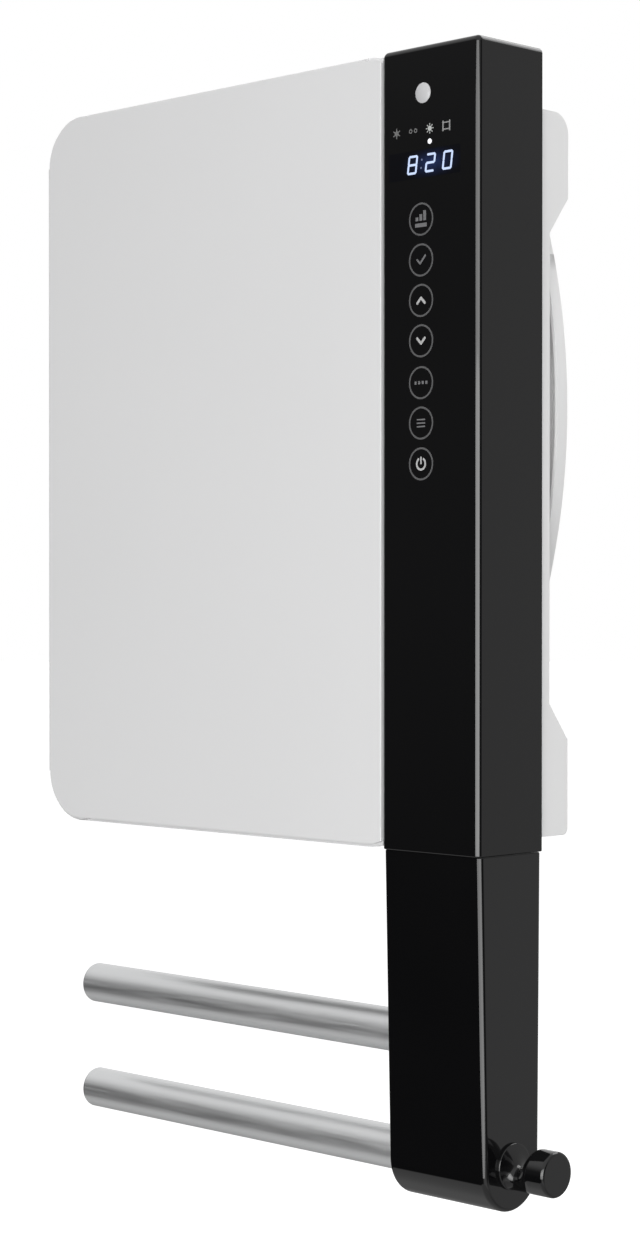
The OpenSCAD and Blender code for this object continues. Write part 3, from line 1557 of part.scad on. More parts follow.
// The switch's body with its bezel on the panel's outer side
module switch_body() {
    x1 = x_left + switch_depth;
    hw = switch_w / 2;
    hh = switch_h / 2;
    color(dark_resin) difference() {
        union() {
            block([x_left - 1.2, switch_y - hw, switch_z - hh], [x1, switch_y + hw, switch_z + hh]);
            block([x_left - 1.2, switch_y - hw - 1.5, switch_z - hh - 1.5],
                [x_left - snug, switch_y + hw + 1.5, switch_z + hh + 1.5]);
        }
        block([x_left - 1.2 - past, switch_y - hw + switch_wall, switch_z - hh + switch_wall],
            [x1 - switch_wall, switch_y + hw - switch_wall, switch_z + hh - switch_wall]);
        bar_y(switch_y - hw + switch_wall - 1.3, switch_y + hw - switch_wall + 1.3,
            rocker_pivot_x, switch_z, rocker_pin_r + shaft_clear);
    }
}

// The rocker, drawn pressed at its upper end
module switch_rocker() {
    hh = switch_h / 2 - switch_wall - 0.5;
    hw = switch_w / 2 - switch_wall - rocker_gap;
    face_x = -3.4;
    color(rocker_black) translate([rocker_pivot_x, switch_y, switch_z]) rotate([0, rocker_tilt, 0]) union() {
        translate([0, hw, 0]) rotate([90, 0, 0]) linear_extrude(2 * hw) polygon([
            [3, -3], [-1, -hh + 1.2], [face_x - 1, -hh + 1.2], [face_x, 0], [face_x - 1, hh - 1.2],
            [-1, hh - 1.2], [3, 3]
        ]);
        bar_y(-hw - 1.5, hw + 1.5, 0, 0, rocker_pin_r);
    }
}

front_panel();
fascia();
column_shell();
column_lower_shell();
column_lower_cover();
column_spine();
back_plate();
rear_casing();
casing_feet();
intake_cowl();
intake_ring();
inlet_guard();
dust_filter();
fan_scroll();
scroll_cover();
fan_impeller();
motor_shaft();
motor_rotor();
motor_stator();
motor_case();
motor_bushes();
motor_screws();
outlet_duct();
heater_frame();
heater_fins();
heater_bars();
thermal_cutouts();
outlet_grille();
power_board();
relays();
capacitors();
triac_heat_sink();
terminal_block();
cable_gland();
cable_clamp();
earth_stud();
control_board();
display_module();
touch_pads();
indicator_light();
presence_sensor();
ribbon_cable();
heater_leads();
towel_rail_upper();
towel_rail_lower();
rail_end_caps();
rail_plugs();
rail_screw();
hook_stud();
stud_nut();
robe_hook();
wall_bracket();
lower_clip();
locking_screw();
panel_screws();
casing_screws();
spine_screws();
scroll_screws();
switch_body();
switch_rocker();
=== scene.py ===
"""Looks of a bathroom wall fan heater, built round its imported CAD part."""

from __future__ import annotations

import json
import logging
import math
from collections.abc import Callable, Iterable, Sequence
from dataclasses import dataclass, field
from enum import Enum
from typing import Protocol

import bmesh
import bpy
from mathutils import Matrix, Vector

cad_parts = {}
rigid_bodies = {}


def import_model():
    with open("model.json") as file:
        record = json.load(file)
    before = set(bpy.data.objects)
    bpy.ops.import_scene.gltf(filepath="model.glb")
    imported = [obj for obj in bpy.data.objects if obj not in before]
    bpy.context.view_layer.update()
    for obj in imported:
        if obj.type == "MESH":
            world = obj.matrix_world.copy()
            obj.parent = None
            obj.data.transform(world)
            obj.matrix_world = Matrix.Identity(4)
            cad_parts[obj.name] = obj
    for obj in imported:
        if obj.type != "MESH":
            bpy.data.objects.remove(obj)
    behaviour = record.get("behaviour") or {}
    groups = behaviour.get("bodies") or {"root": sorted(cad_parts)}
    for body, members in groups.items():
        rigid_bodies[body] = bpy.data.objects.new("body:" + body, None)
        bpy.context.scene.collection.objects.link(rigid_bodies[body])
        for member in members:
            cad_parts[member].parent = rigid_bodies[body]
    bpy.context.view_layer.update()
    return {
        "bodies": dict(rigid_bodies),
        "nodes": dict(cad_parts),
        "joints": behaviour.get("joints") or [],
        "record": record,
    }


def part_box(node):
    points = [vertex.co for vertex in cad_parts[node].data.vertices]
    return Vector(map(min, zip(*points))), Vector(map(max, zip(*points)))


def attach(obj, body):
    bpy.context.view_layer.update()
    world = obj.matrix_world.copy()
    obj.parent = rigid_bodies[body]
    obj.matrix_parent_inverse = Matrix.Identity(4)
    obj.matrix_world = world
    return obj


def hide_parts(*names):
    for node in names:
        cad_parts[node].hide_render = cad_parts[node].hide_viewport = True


BMesh = bmesh.types.BMesh
Edge = bmesh.types.BMEdge
Material = bpy.types.Material
Piece = bpy.types.Object
Socket = bpy.types.NodeSocket
Pair = tuple[float, float]
Triple = tuple[float, float, float]
Inputs = dict[str | int, object]

LOG = logging.getLogger("heater")
MM = 0.001
MAIN_BODY = "heater_body"
SAME = 0.01 * MM  # places closer than this count as one
MERGE = 0.001 * MM  # corners closer than this are merged
OVERSHOOT = 10.0 * MM  # how far a cutter reaches past what it cuts
SHARP = math.radians(40.0)  # edges that bend more than this are rounded
WHITE = (1.0, 1.0, 1.0, 1.0)


# ---------------------------------------------------------------- node recipes


class Nodes:
    """A node tree, written as short calls."""

    def __init__(self, tree: bpy.types.NodeTree) -> None:
        """Empties the tree.

        Args:
            tree: The tree to write in.
        """
        self.tree = tree
        self.tree.nodes.clear()

    def node(self, kind: str, values: Inputs | None = None, **settings: object) -> bpy.types.Node:
        """Adds a node.

        Args:
            kind: The node's type without its prefix.
            values: Values or output sockets for its inputs.
            **settings: Attributes of the node.

        Returns:
            The new node.
        """
        made = self.tree.nodes.new("ShaderNode" + kind)
        for key, value in settings.items():
            setattr(made, key, value)
        for key, value in (values or {}).items():
            if isinstance(value, Socket):
                self.tree.links.new(value, made.inputs[key])
            else:
                made.inputs[key].default_value = value
        return made

    def times(self, a: Socket, b: Socket) -> Socket:
        """Multiplies two values."""
        return self.node("Math", {0: a, 1: b}, operation="MULTIPLY").outputs[0]


class Recipe(Nodes):
    """A material's node tree."""

    def __init__(self, name: str) -> None:
        """Starts an empty material.

        Args:
            name: The material's name.
        """
        self.material = bpy.data.materials.new(name)
        self.material.use_nodes = True
        super().__init__(self.material.node_tree)

    def place(self, scale: Triple = (1.0, 1.0, 1.0), turn: Triple = (0.0, 0.0, 0.0),
              shift: Triple = (0.0, 0.0, 0.0)) -> Socket:
        """Returns object coordinates, stretched, turned and shifted.

        Args:
            scale: Stretch along each axis.
            turn: Turn about each axis in radians.
            shift: What is added after both.

        Returns:
            The vector socket.
        """
        where = self.node("TexCoord").outputs["Object"]
        values = {"Vector": where, "Location": shift, "Rotation": turn, "Scale": scale}
        return self.node("Mapping", values).outputs["Vector"]

    def noise(self, vector: Socket, scale: float, detail: float = 3.0) -> Socket:
        """Returns a noise value from 0 to 1.

        Args:
            vector: Coordinates.
            scale: Noise scale per metre.
            detail: Octaves.

        Returns:
            The value socket.
        """
        return self.node("TexNoise", {"Vector": vector, "Scale": scale, "Detail": detail}).outputs["Fac"]

    def spread(self, value: Socket, low: float, high: float) -> Socket:
        """Maps the middle of a noise onto a range.

        Args:
            value: A noise value.
            low: Result for its low side.
            high: Result for its high side.

        Returns:
            The value socket.
        """
        usual_low, usual_high = 0.3, 0.7
        made = self.node("MapRange", {"Value": value, 1: usual_low, 2: usual_high, 3: low, 4: high})
        return made.outputs["Result"]

    def between(self, fac: Socket, low: Triple, high: Triple) -> Socket:
        """Blends two colours.

        Args:
            fac: 0 for the first colour and 1 for the second.
            low: First colour.
            high: Second colour.

        Returns:
            The colour socket.
        """
        ramp = self.node("ValToRGB", {"Fac": fac})
        ramp.color_ramp.elements[0].color = (*low, 1.0)
        ramp.color_ramp.elements[1].color = (*high, 1.0)
        return ramp.outputs["Color"]

    def drifting(self, fac: Socket, tone: Triple, drift: float) -> Socket:
        """Returns a tone that drifts a little to both sides."""
        return self.between(fac, shade(tone, 1 - drift), shade(tone, 1 + drift))

    def bump(self, height: Socket, depth: float, strength: float = 1.0) -> Socket:
        """Returns a normal bumped by a height.

        Args:
            height: Height from 0 to 1.
            depth: What a height of 1 is in metres.
            strength: Share of the bump that shows.

        Returns:
            The normal socket.
        """
        made = self.node("Bump", {"Height": height, "Distance": depth, "Strength": strength})
        return made.outputs["Normal"]

    def ends_in(self, shader: Socket) -> Material:
        """Ends the recipe with a shader.

        Args:
            shader: The shader's socket.

        Returns:
            The finished material.
        """
        self.node("OutputMaterial", {"Surface": shader})
        return self.material

    def surface(self, values: Inputs) -> Material:
        """Ends the recipe with a principled surface of the given inputs."""
        return self.ends_in(self.node("BsdfPrincipled", values).outputs["BSDF"])


def shade(tone: Triple, factor: float) -> Triple:
    """Returns a tone made lighter or darker.

    Args:
        tone: Linear colour.
        factor: What it is multiplied by.

    Returns:
        The new colour, at most 1.
    """
    red, green, blue = (min(1.0, c * factor) for c in tone)
    return red, green, blue


# -------------------------------------------------------------------- finishes


class Finish(Protocol):
    """A surface that makes its own material."""

    def make(self) -> Material:
        """Builds the material."""


@dataclass(frozen=True)
class Moulding:
    """Moulded resin with a fine grain and a slight drift of tone."""

    name: str
    tone: Triple
    roughness: float = 0.45
    drift: float = 0.02
    grain: float = 1400.0
    grain_depth: float = 0.02 * MM
    specular: float = 0.5
    cloud: float = 9.0
    unevenness: float = 0.04

    def make(self) -> Material:
        """Builds the material.

        Returns:
            The material.
        """
        r = Recipe(self.name)
        where = r.place()
        cloud = r.noise(where, self.cloud)
        fine = r.noise(where, self.grain, detail=2.0)
        return r.surface({
            "Base Color": r.drifting(cloud, self.tone, self.drift),
            "Roughness": r.spread(fine, self.roughness - self.unevenness, self.roughness + self.unevenness),
            "Specular IOR Level": self.specular,
            "Normal": r.bump(fine, self.grain_depth),
        })


@dataclass(frozen=True)
class Gloss:
    """Polished resin or lacquer with faint handling haze and orange peel."""

    name: str
    tone: Triple
    roughness: float = 0.06
    haze: float = 0.03
    ior: float = 1.5
    drift: float = 0.1
    smear: float = 14.0
    peel: float = 240.0
    peel_depth: float = 0.0015 * MM

    def make(self) -> Material:
        """Builds the material.

        Returns:
            The material.
        """
        r = Recipe(self.name)
        where = r.place()
        smear = r.noise(where, self.smear, detail=4.0)
        peel = r.noise(where, self.peel, detail=1.0)
        return r.surface({
            "Base Color": r.drifting(smear, self.tone, self.drift),
            "Roughness": r.spread(smear, self.roughness, self.roughness + self.haze),
            "IOR": self.ior,
            "Normal": r.bump(peel, self.peel_depth),
        })


class Grain(Enum):
    """The direction in which a metal is brushed or drawn, as a stretch of its pattern."""

    ALONG_X = (1.0, 60.0, 60.0)
    EVEN = (12.0, 12.0, 12.0)


@dataclass(frozen=True)
class Metal:
    """Metal with drawn or brushed lines and a satin spread."""

    name: str
    tone: Triple
    roughness: float = 0.3
    grain: Grain = Grain.EVEN
    drift: float = 0.03
    lines: float = 22.0
    line_depth: float = 0.003 * MM
    cloud: float = 18.0
    smoother: float = 0.05
    rougher: float = 0.06

    def make(self) -> Material:
        """Builds the material.

        Returns:
            The material.
        """
        r = Recipe(self.name)
        lines = r.noise(r.place(self.grain.value), self.lines, detail=4.0)
        cloud = r.noise(r.place(), self.cloud)
        return r.surface({
            "Base Color": r.drifting(cloud, self.tone, self.drift),
            "Metallic": 1.0,
            "Roughness": r.spread(lines, self.roughness - self.smoother, self.roughness + self.rougher),
            "Normal": r.bump(lines, self.line_depth),
        })


@dataclass(frozen=True)
class Board:
    """Circuit board with solder mask over faint tracks."""

    name: str
    tone: Triple
    tracks: float = 260.0
    darker: float = 0.85
    track_tone: float = 1.5
    track_height: float = 0.02 * MM

    def make(self) -> Material:
        """Builds the material.

        Returns:
            The material.
        """
        r = Recipe(self.name)
        tracks = r.node("TexBrick", {
            "Vector": r.place(turn=(math.pi / 2, 0.0, 0.0)),
            "Scale": self.tracks,
            "Color1": (*shade(self.tone, self.darker), 1.0),
            "Color2": (*self.tone, 1.0),
            "Mortar": (*shade(self.tone, self.track_tone), 1.0),
        })
        return r.surface({
            "Base Color": tracks.outputs["Color"],
            "Roughness": 0.3,
            "Normal": r.bump(tracks.outputs["Fac"], self.track_height, strength=0.4),
        })


@dataclass(frozen=True)
class Print:
    """Screen-printed ink with a slightly uneven tone."""

    name: str
    tone: Triple
    drift: float = 0.14
    speck: float = 900.0
    smoothest: float = 0.42
    roughest: float = 0.55

    def make(self) -> Material:
        """Builds the material.

        Returns:
            The material.
        """
        r = Recipe(self.name)
        speck = r.noise(r.place(), self.speck, detail=2.0)
        return r.surface({
            "Base Color": r.drifting(speck, self.tone, self.drift),
            "Roughness": r.spread(speck, self.smoothest, self.roughest),
            "Specular IOR Level": 0.3,
        })


@dataclass(frozen=True)
class Lit:
    """A lit segment or light guide, brighter where the light sits behind it."""

    name: str
    tone: Triple
    strength: float = 1.0
    unlit: float = 0.3
    dimmest: float = 0.82
    pool: float = 260.0

    def make(self) -> Material:
        """Builds the material.

        Returns:
            The material.
        """
        r = Recipe(self.name)
        pool = r.noise(r.place(), self.pool, detail=1.0)
        return r.surface({
            "Base Color": (*shade(self.tone, self.unlit), 1.0),
            "Roughness": 0.3,
            "Emission Color": r.between(pool, shade(self.tone, self.dimmest), self.tone),
            "Emission Strength": self.strength,
        })


@dataclass(frozen=True)
class SmokedWindow:
    """The dark window over the display, with a painted glow where the digits' light would spread in it."""

    name: str
    centre: Vector
    reach: Triple = (26.0 * MM, 20.0 * MM, 10.5 * MM)
    tone: Triple = (0.0012, 0.0014, 0.003)
    # colour of the painted glow that stands in for the digits' light
    glow: Triple = (0.014, 0.028, 0.10)
    haze: float = 420.0

    def make(self) -> Material:
        """Builds the material.

        Returns:
            The material.
        """
        r = Recipe(self.name)
        across, deep, high = (1.0 / v for v in self.reach)
        shift = (-self.centre.x * across, -self.centre.y * deep, -self.centre.z * high)
        where = r.place((across, deep, high), shift=shift)
        pool = r.node("TexGradient", {"Vector": where}, gradient_type="QUADRATIC_SPHERE").outputs["Fac"]
        haze = r.noise(r.place(), self.haze, detail=2.0)
        light = r.times(pool, r.spread(haze, 0.75, 1.2))
        return r.surface({
            "Base Color": (*self.tone, 1.0),
            "Roughness": r.spread(haze, 0.05, 0.08),
            # painted glow: emission in a pool round the digits, in place of their light spreading in the
            # window
            "Emission Color": r.between(light, (0.0, 0.0, 0.0), self.glow),
            "Emission Strength": 1.0,
        })


PANEL_TONE: Triple = (0.68, 0.68, 0.683)
CASING_TONE: Triple = (0.76, 0.76, 0.76)
BLACK: Triple = (0.0035, 0.0035, 0.0038)

FINISHES: dict[str, Finish] = {
    "panel": Moulding("panel_satin", PANEL_TONE, roughness=0.55, drift=0.012, grain=1500.0,
                      grain_depth=0.008 * MM, specular=0.15),
    "gloss_black": Gloss("fascia_gloss", BLACK, roughness=0.035, haze=0.02),
    "graphite": Gloss("column_half_gloss", (0.004, 0.004, 0.0042), roughness=0.16, haze=0.04, ior=1.45),
    "casing": Moulding("casing_white", CASING_TONE, roughness=0.5, drift=0.012, grain=1200.0,
                       grain_depth=0.012 * MM),
    "steel": Metal("zinc_plated_steel", (0.56, 0.57, 0.59), roughness=0.36),
    "rail": Metal("satin_rail", (0.68, 0.685, 0.69), roughness=0.4, grain=Grain.ALONG_X),
    "dark_resin": Moulding("matt_black_resin", (0.018, 0.018, 0.019), roughness=0.55, drift=0.06,
                           grain=1000.0),
    "heat_resin": Moulding("cream_heat_resin", (0.70, 0.66, 0.57), roughness=0.5, drift=0.03),
    "board": Board("green_board", (0.03, 0.19, 0.09)),
    "copper": Metal("enamelled_copper", (0.62, 0.30, 0.14), roughness=0.34),
    "fins": Metal("plain_aluminium", (0.72, 0.73, 0.74), roughness=0.34),
    "sensor": Gloss("sensor_dome", (0.53, 0.53, 0.54), roughness=0.2, haze=0.05),
    "light_guide": Lit("light_guide_clear", (0.9, 0.93, 1.0), strength=0.6),
    "display": Gloss("display_cell", (0.006, 0.006, 0.008), roughness=0.1),
    "hook_black": Gloss("hook_lacquer", BLACK, roughness=0.06, haze=0.03),
    "lead_sleeve": Moulding("red_sleeve", (0.42, 0.03, 0.02), roughness=0.6, drift=0.05, grain=1800.0,
                            grain_depth=0.03 * MM),
    "capacitor": Moulding("yellow_film", (0.62, 0.42, 0.06), roughness=0.4, drift=0.04),
    "rocker": Gloss("rocker_black", (0.012, 0.012, 0.013), roughness=0.22, haze=0.05),
}


@dataclass
class Wardrobe:
    """The finished materials, one for each slot of the record."""

    made: dict[str, Material] = field(default_factory=dict)

    def of(self, slot: str) -> Material:
        """Returns the material of a slot, and builds it the first time.

        Args:
            slot: The slot's name.

        Returns:
            Its material.
        """
        if slot not in self.made:
            self.made[slot] = FINISHES[slot].make()
        return self.made[slot]

    def dress(self, nodes: dict[str, Piece], record: dict) -> None:
        """Gives every CAD node the finish of its slot.

        Args:
            nodes: The CAD nodes by name.
            record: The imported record.
        """
        slots = {p["node"]: p["material_slot"] for p in record["subparts"]}
        for name, node in nodes.items():
            for place in node.material_slots:
                place.material = self.of(slots[name])


# ------------------------------------------------------------------ mesh tools


def finish_mesh(bm: BMesh, name: str, material: Material, smooth_angle: float = 35.0) -> Piece:
    """Turns a bmesh into a piece that rides on the main body.

    Args:
        bm: The mesh; it is freed.
        name: The piece's name.
        material: Its material.
        smooth_angle: Edges sharper than this stay sharp, in degrees.

    Returns:
        The new object.
    """
    limit = math.radians(smooth_angle)
    for face in bm.faces:
        face.smooth = True
    for edge in bm.edges:
        edge.smooth = len(edge.link_faces) == 2 and edge.calc_face_angle(0.0) < limit
    mesh = bpy.data.meshes.new(name)
    bm.to_mesh(mesh)
    bm.free()
    mesh.materials.append(material)
    piece = bpy.data.objects.new(name, mesh)
    bpy.context.scene.collection.objects.link(piece)
    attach(piece, MAIN_BODY)
    return piece


def join_flat_faces(bm: BMesh, degrees: float = 0.4) -> None:
    """Joins the faces that bend less than an angle."""
    bmesh.ops.dissolve_limit(bm, angle_limit=math.radians(degrees), verts=bm.verts, edges=bm.edges)


def solid_copy(node: Piece) -> BMesh:
    """Returns a closed copy of a CAD node with its flat faces joined.

    Args:
        node: The CAD node.

    Returns:
        The merged bmesh.
    """
    bm = bmesh.new()
    bm.from_mesh(node.data)
    bmesh.ops.remove_doubles(bm, verts=bm.verts, dist=MERGE)
    join_flat_faces(bm)
    return bm


def bevel(bm: BMesh, edges: list[Edge], radius: float, segments: int) -> None:
    """Rounds edges.

    Args:
        bm: The mesh.
        edges: Its edges to round.
        radius: The rounding in metres.
        segments: Steps of the rounding.
    """
    bmesh.ops.bevel(bm, geom=edges, offset=radius, offset_type="OFFSET", segments=segments, profile=0.5,
                    affect="EDGES", clamp_overlap=True, material=-1)


def round_edges(bm: BMesh, radius: float, pick: Callable[[Vector, Vector], bool], segments: int) -> None:
    """Rounds the sharp convex edges that a test picks by their ends.

    Args:
        bm: The mesh.
        radius: The rounding in metres.
        pick: The test.
        segments: Steps of the rounding.
    """
    sharp = [e for e in bm.edges if len(e.link_faces) == 2 and e.is_convex and e.calc_face_angle(0.0) > SHARP]
    bevel(bm, [e for e in sharp if pick(e.verts[0].co, e.verts[1].co)], radius, segments)


def combine(base: BMesh, steps: Iterable[tuple[str, BMesh]]) -> BMesh:
    """Joins closed tools to a solid or cuts them from it, in order.

    Args:
        base: The solid; it is freed.
        steps: Pairs of UNION or DIFFERENCE and a tool, which is freed.

    Returns:
        The new solid.
    """
    spare: list[Piece] = []
    for kind, bm in (("", base), *steps):
        bmesh.ops.recalc_face_normals(bm, faces=bm.faces)
        mesh = bpy.data.meshes.new("spare")
        bm.to_mesh(mesh)
        bm.free()
        thing = bpy.data.objects.new("spare", mesh)
        bpy.context.scene.collection.objects.link(thing)
        if spare:
            cut = spare[0].modifiers.new("cut", "BOOLEAN")
            cut.operation, cut.object, cut.solver = kind, thing, "EXACT"
        spare.append(thing)
    bpy.context.view_layer.update()
    result = bmesh.new()
    result.from_object(spare[0], bpy.context.evaluated_depsgraph_get())
    for thing in spare:
        mesh = thing.data
        bpy.data.objects.remove(thing)
        bpy.data.meshes.remove(mesh)
    bmesh.ops.remove_doubles(result, verts=result.verts, dist=MERGE)
    return result


def block(lo: Iterable[float], hi: Iterable[float]) -> BMesh:
    """Returns a box between two corners.

    Args:
        lo: Its lowest corner.
        hi: Its highest corner.

    Returns:
        The closed bmesh.
    """
    low, high = Vector(lo), Vector(hi)
    bm = bmesh.new()
    sized = Matrix.Diagonal((*(high - low), 1.0))
    bmesh.ops.create_cube(bm, size=1.0, matrix=Matrix.Translation((low + high) / 2) @ sized)
    return bm


def rod(a: Iterable[float], b: Iterable[float], radius: float, segments: int = 96) -> BMesh:
    """Returns a round rod between two points.

    Args:
        a: Centre of its first end.
        b: Centre of its other end.
        radius: Its radius.
        segments: Steps round it.

    Returns:
        The closed bmesh.
    """
    start, end = Vector(a), Vector(b)
    bm = bmesh.new()
    turn = (end - start).to_track_quat("Z", "Y").to_matrix().to_4x4()
    bmesh.ops.create_cone(bm, cap_ends=True, segments=segments, radius1=radius, radius2=radius,
                          depth=(end - start).length, matrix=Matrix.Translation((start + end) / 2) @ turn)
    return bm


def rim_of(circle: dict) -> list[Edge]:
    """Returns the edges of a circle that an operator has made."""
    return list(dict.fromkeys(e for v in circle["verts"] for e in v.link_edges))


def dress_in_place(bm: BMesh, name: str, node: str, wardrobe: Wardrobe, slot: str,
                   smooth_angle: float = 35.0) -> Piece:
    """Turns a bmesh into the piece that is shown in place of a CAD node.

    Its normals are weighted, so that large flat faces stay flat beside their rounded edges.

    Args:
        bm: The mesh; it is freed.
        name: The piece's name.
        node: The CAD node.
        wardrobe: The materials.
        slot: The record's material slot.
        smooth_angle: Edges sharper than this stay sharp, in degrees.

    Returns:
        The piece.
    """
    piece = finish_mesh(bm, name, wardrobe.of(slot), smooth_angle)
    weighted = piece.modifiers.new("flat_faces", "WEIGHTED_NORMAL")
    weighted.keep_sharp = True
    weighted.weight = 90
    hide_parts(node)
    return piece


class Plate:
    """Thin printed or lit shapes on the fascia, drawn in X and Z.

    Each shape stands a hair prouder than the last, so that shapes which overlap never share a face.
    """

    hair: float = 0.0004 * MM

    def __init__(self, y: float, depth: float = 0.06 * MM) -> None:
        """Starts an empty drawing.

        Args:
            y: The plane that carries it.
            depth: How far it stands proud of that plane.
        """
        self.bm = bmesh.new()
        self.y = y
        self.depth = depth

    def _stand(self, x: float, z: float, turn: float = 0.0) -> Matrix:
        """Returns the matrix that stands the next shape up on the plane.

        Args:
            x: Where its centre goes.
            z: Where its centre goes.
            turn: Its turn in radians.

        Returns:
            The matrix.
        """
        self.depth += self.hair
        upright = Matrix.Rotation(math.pi / 2, 4, "X")
        return Matrix.Translation((x, self.y - self.depth / 2, z)) @ Matrix.Rotation(-turn, 4, "Y") @ upright

    def bar(self, a: Pair, b: Pair, width: float, rounded: bool = True) -> None:
        """Draws a bar between two points.

        Args:
            a: First point.
            b: Second point.
            width: Its width.
            rounded: Whether its ends are round.
        """
        dx, dz = b[0] - a[0], b[1] - a[1]
        at = self._stand((a[0] + b[0]) / 2, (a[1] + b[1]) / 2, math.atan2(dz, dx))
        sized = Matrix.Diagonal((math.hypot(dx, dz), width, self.depth, 1.0))
        bmesh.ops.create_cube(self.bm, size=1.0, matrix=at @ sized)
        if rounded:
            for x, z in (a, b):
                self.disc(x, z, width / 2)

    def strokes(self, centre: Pair, points: Iterable[Pair], width: float, rounded: bool = True) -> None:
        """Draws joined bars through points that are given in millimetres from a centre.

        Args:
            centre: The centre in metres.
            points: The points.
            width: Width of the bars in millimetres.
            rounded: Whether their ends are round.
        """
        placed = [(centre[0] + x * MM, centre[1] + z * MM) for x, z in points]
        for a, b in zip(placed, placed[1:]):
            self.bar(a, b, width * MM, rounded)

    def disc(self, x: float, z: float, radius: float, segments: int = 24) -> None:
        """Draws a filled disc."""
        bmesh.ops.create_cone(self.bm, cap_ends=True, segments=segments, radius1=radius, radius2=radius,
                              depth=self.depth, matrix=self._stand(x, z))

    def ring(self, x: float, z: float, radius: float, width: float, segments: int = 72) -> None:
        """Draws a ring.

        Args:
            x: Its centre.
            z: Its centre.
            radius: Outer radius.
            width: Width of the line.
            segments: Steps round it.
        """
        rims: list[Edge] = []
        for r in (radius, radius - width):
            rims += rim_of(bmesh.ops.create_circle(self.bm, cap_ends=False, segments=segments, radius=r,
                                                   matrix=self._stand(x, z)))
        faces = bmesh.ops.bridge_loops(self.bm, edges=rims)["faces"]
        bmesh.ops.solidify(self.bm, geom=faces, thickness=self.depth)

    def arc(self, x: float, z: float, radius: float, span: Pair, width: float, steps: int = 24) -> None:
        """Draws an arc.

        Args:
            x: Its centre.
            z: Its centre.
            radius: Radius of its middle line.
            span: Its first and its last angle in degrees.
            width: Width of the line.
            steps: Steps along it.
        """
        at = self._stand(x, z)
        rows = []
        for i in range(steps + 1):
            t = math.radians(span[0] + (span[1] - span[0]) * i / steps)
            rows.append([self.bm.verts.new(at @ Vector((r * math.cos(t), r * math.sin(t), 0.0)))
                         for r in (radius - width / 2, radius + width / 2)])
        faces = [self.bm.faces.new((a[0], a[1], b[1], b[0])) for a, b in zip(rows, rows[1:])]
        self.bm.normal_update()
        bmesh.ops.solidify(self.bm, geom=faces, thickness=self.depth)

    def make(self, name: str, finish: Finish, slot: str) -> Piece:
        """Ends the drawing as a piece of the main body."""
        bmesh.ops.recalc_face_normals(self.bm, faces=self.bm.faces)
        return finish_mesh(self.bm, name, finish.make())


# --------------------------------------------------------------- sub-assemblies


@dataclass
class FrontPanel:
    """The light front panel with its broken inner edge."""

    wardrobe: Wardrobe
    node: Piece
    inner_break: float = 0.7 * MM
    edge_depth: float = 1.0 * MM

    def build(self) -> Piece:
        """Builds the panel with a small rounding beside the column.

        Returns:
            The panel.
        """
        lo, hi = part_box("front_panel")
        bm = solid_copy(self.node)
        round_edges(bm, self.inner_break,
                    lambda *ends: all(abs(p.x - hi.x) < SAME and p.y < lo.y + self.edge_depth for p in ends),
                    segments=3)
        return dress_in_place(bm, "panel_face", "front_panel", self.wardrobe, "panel")


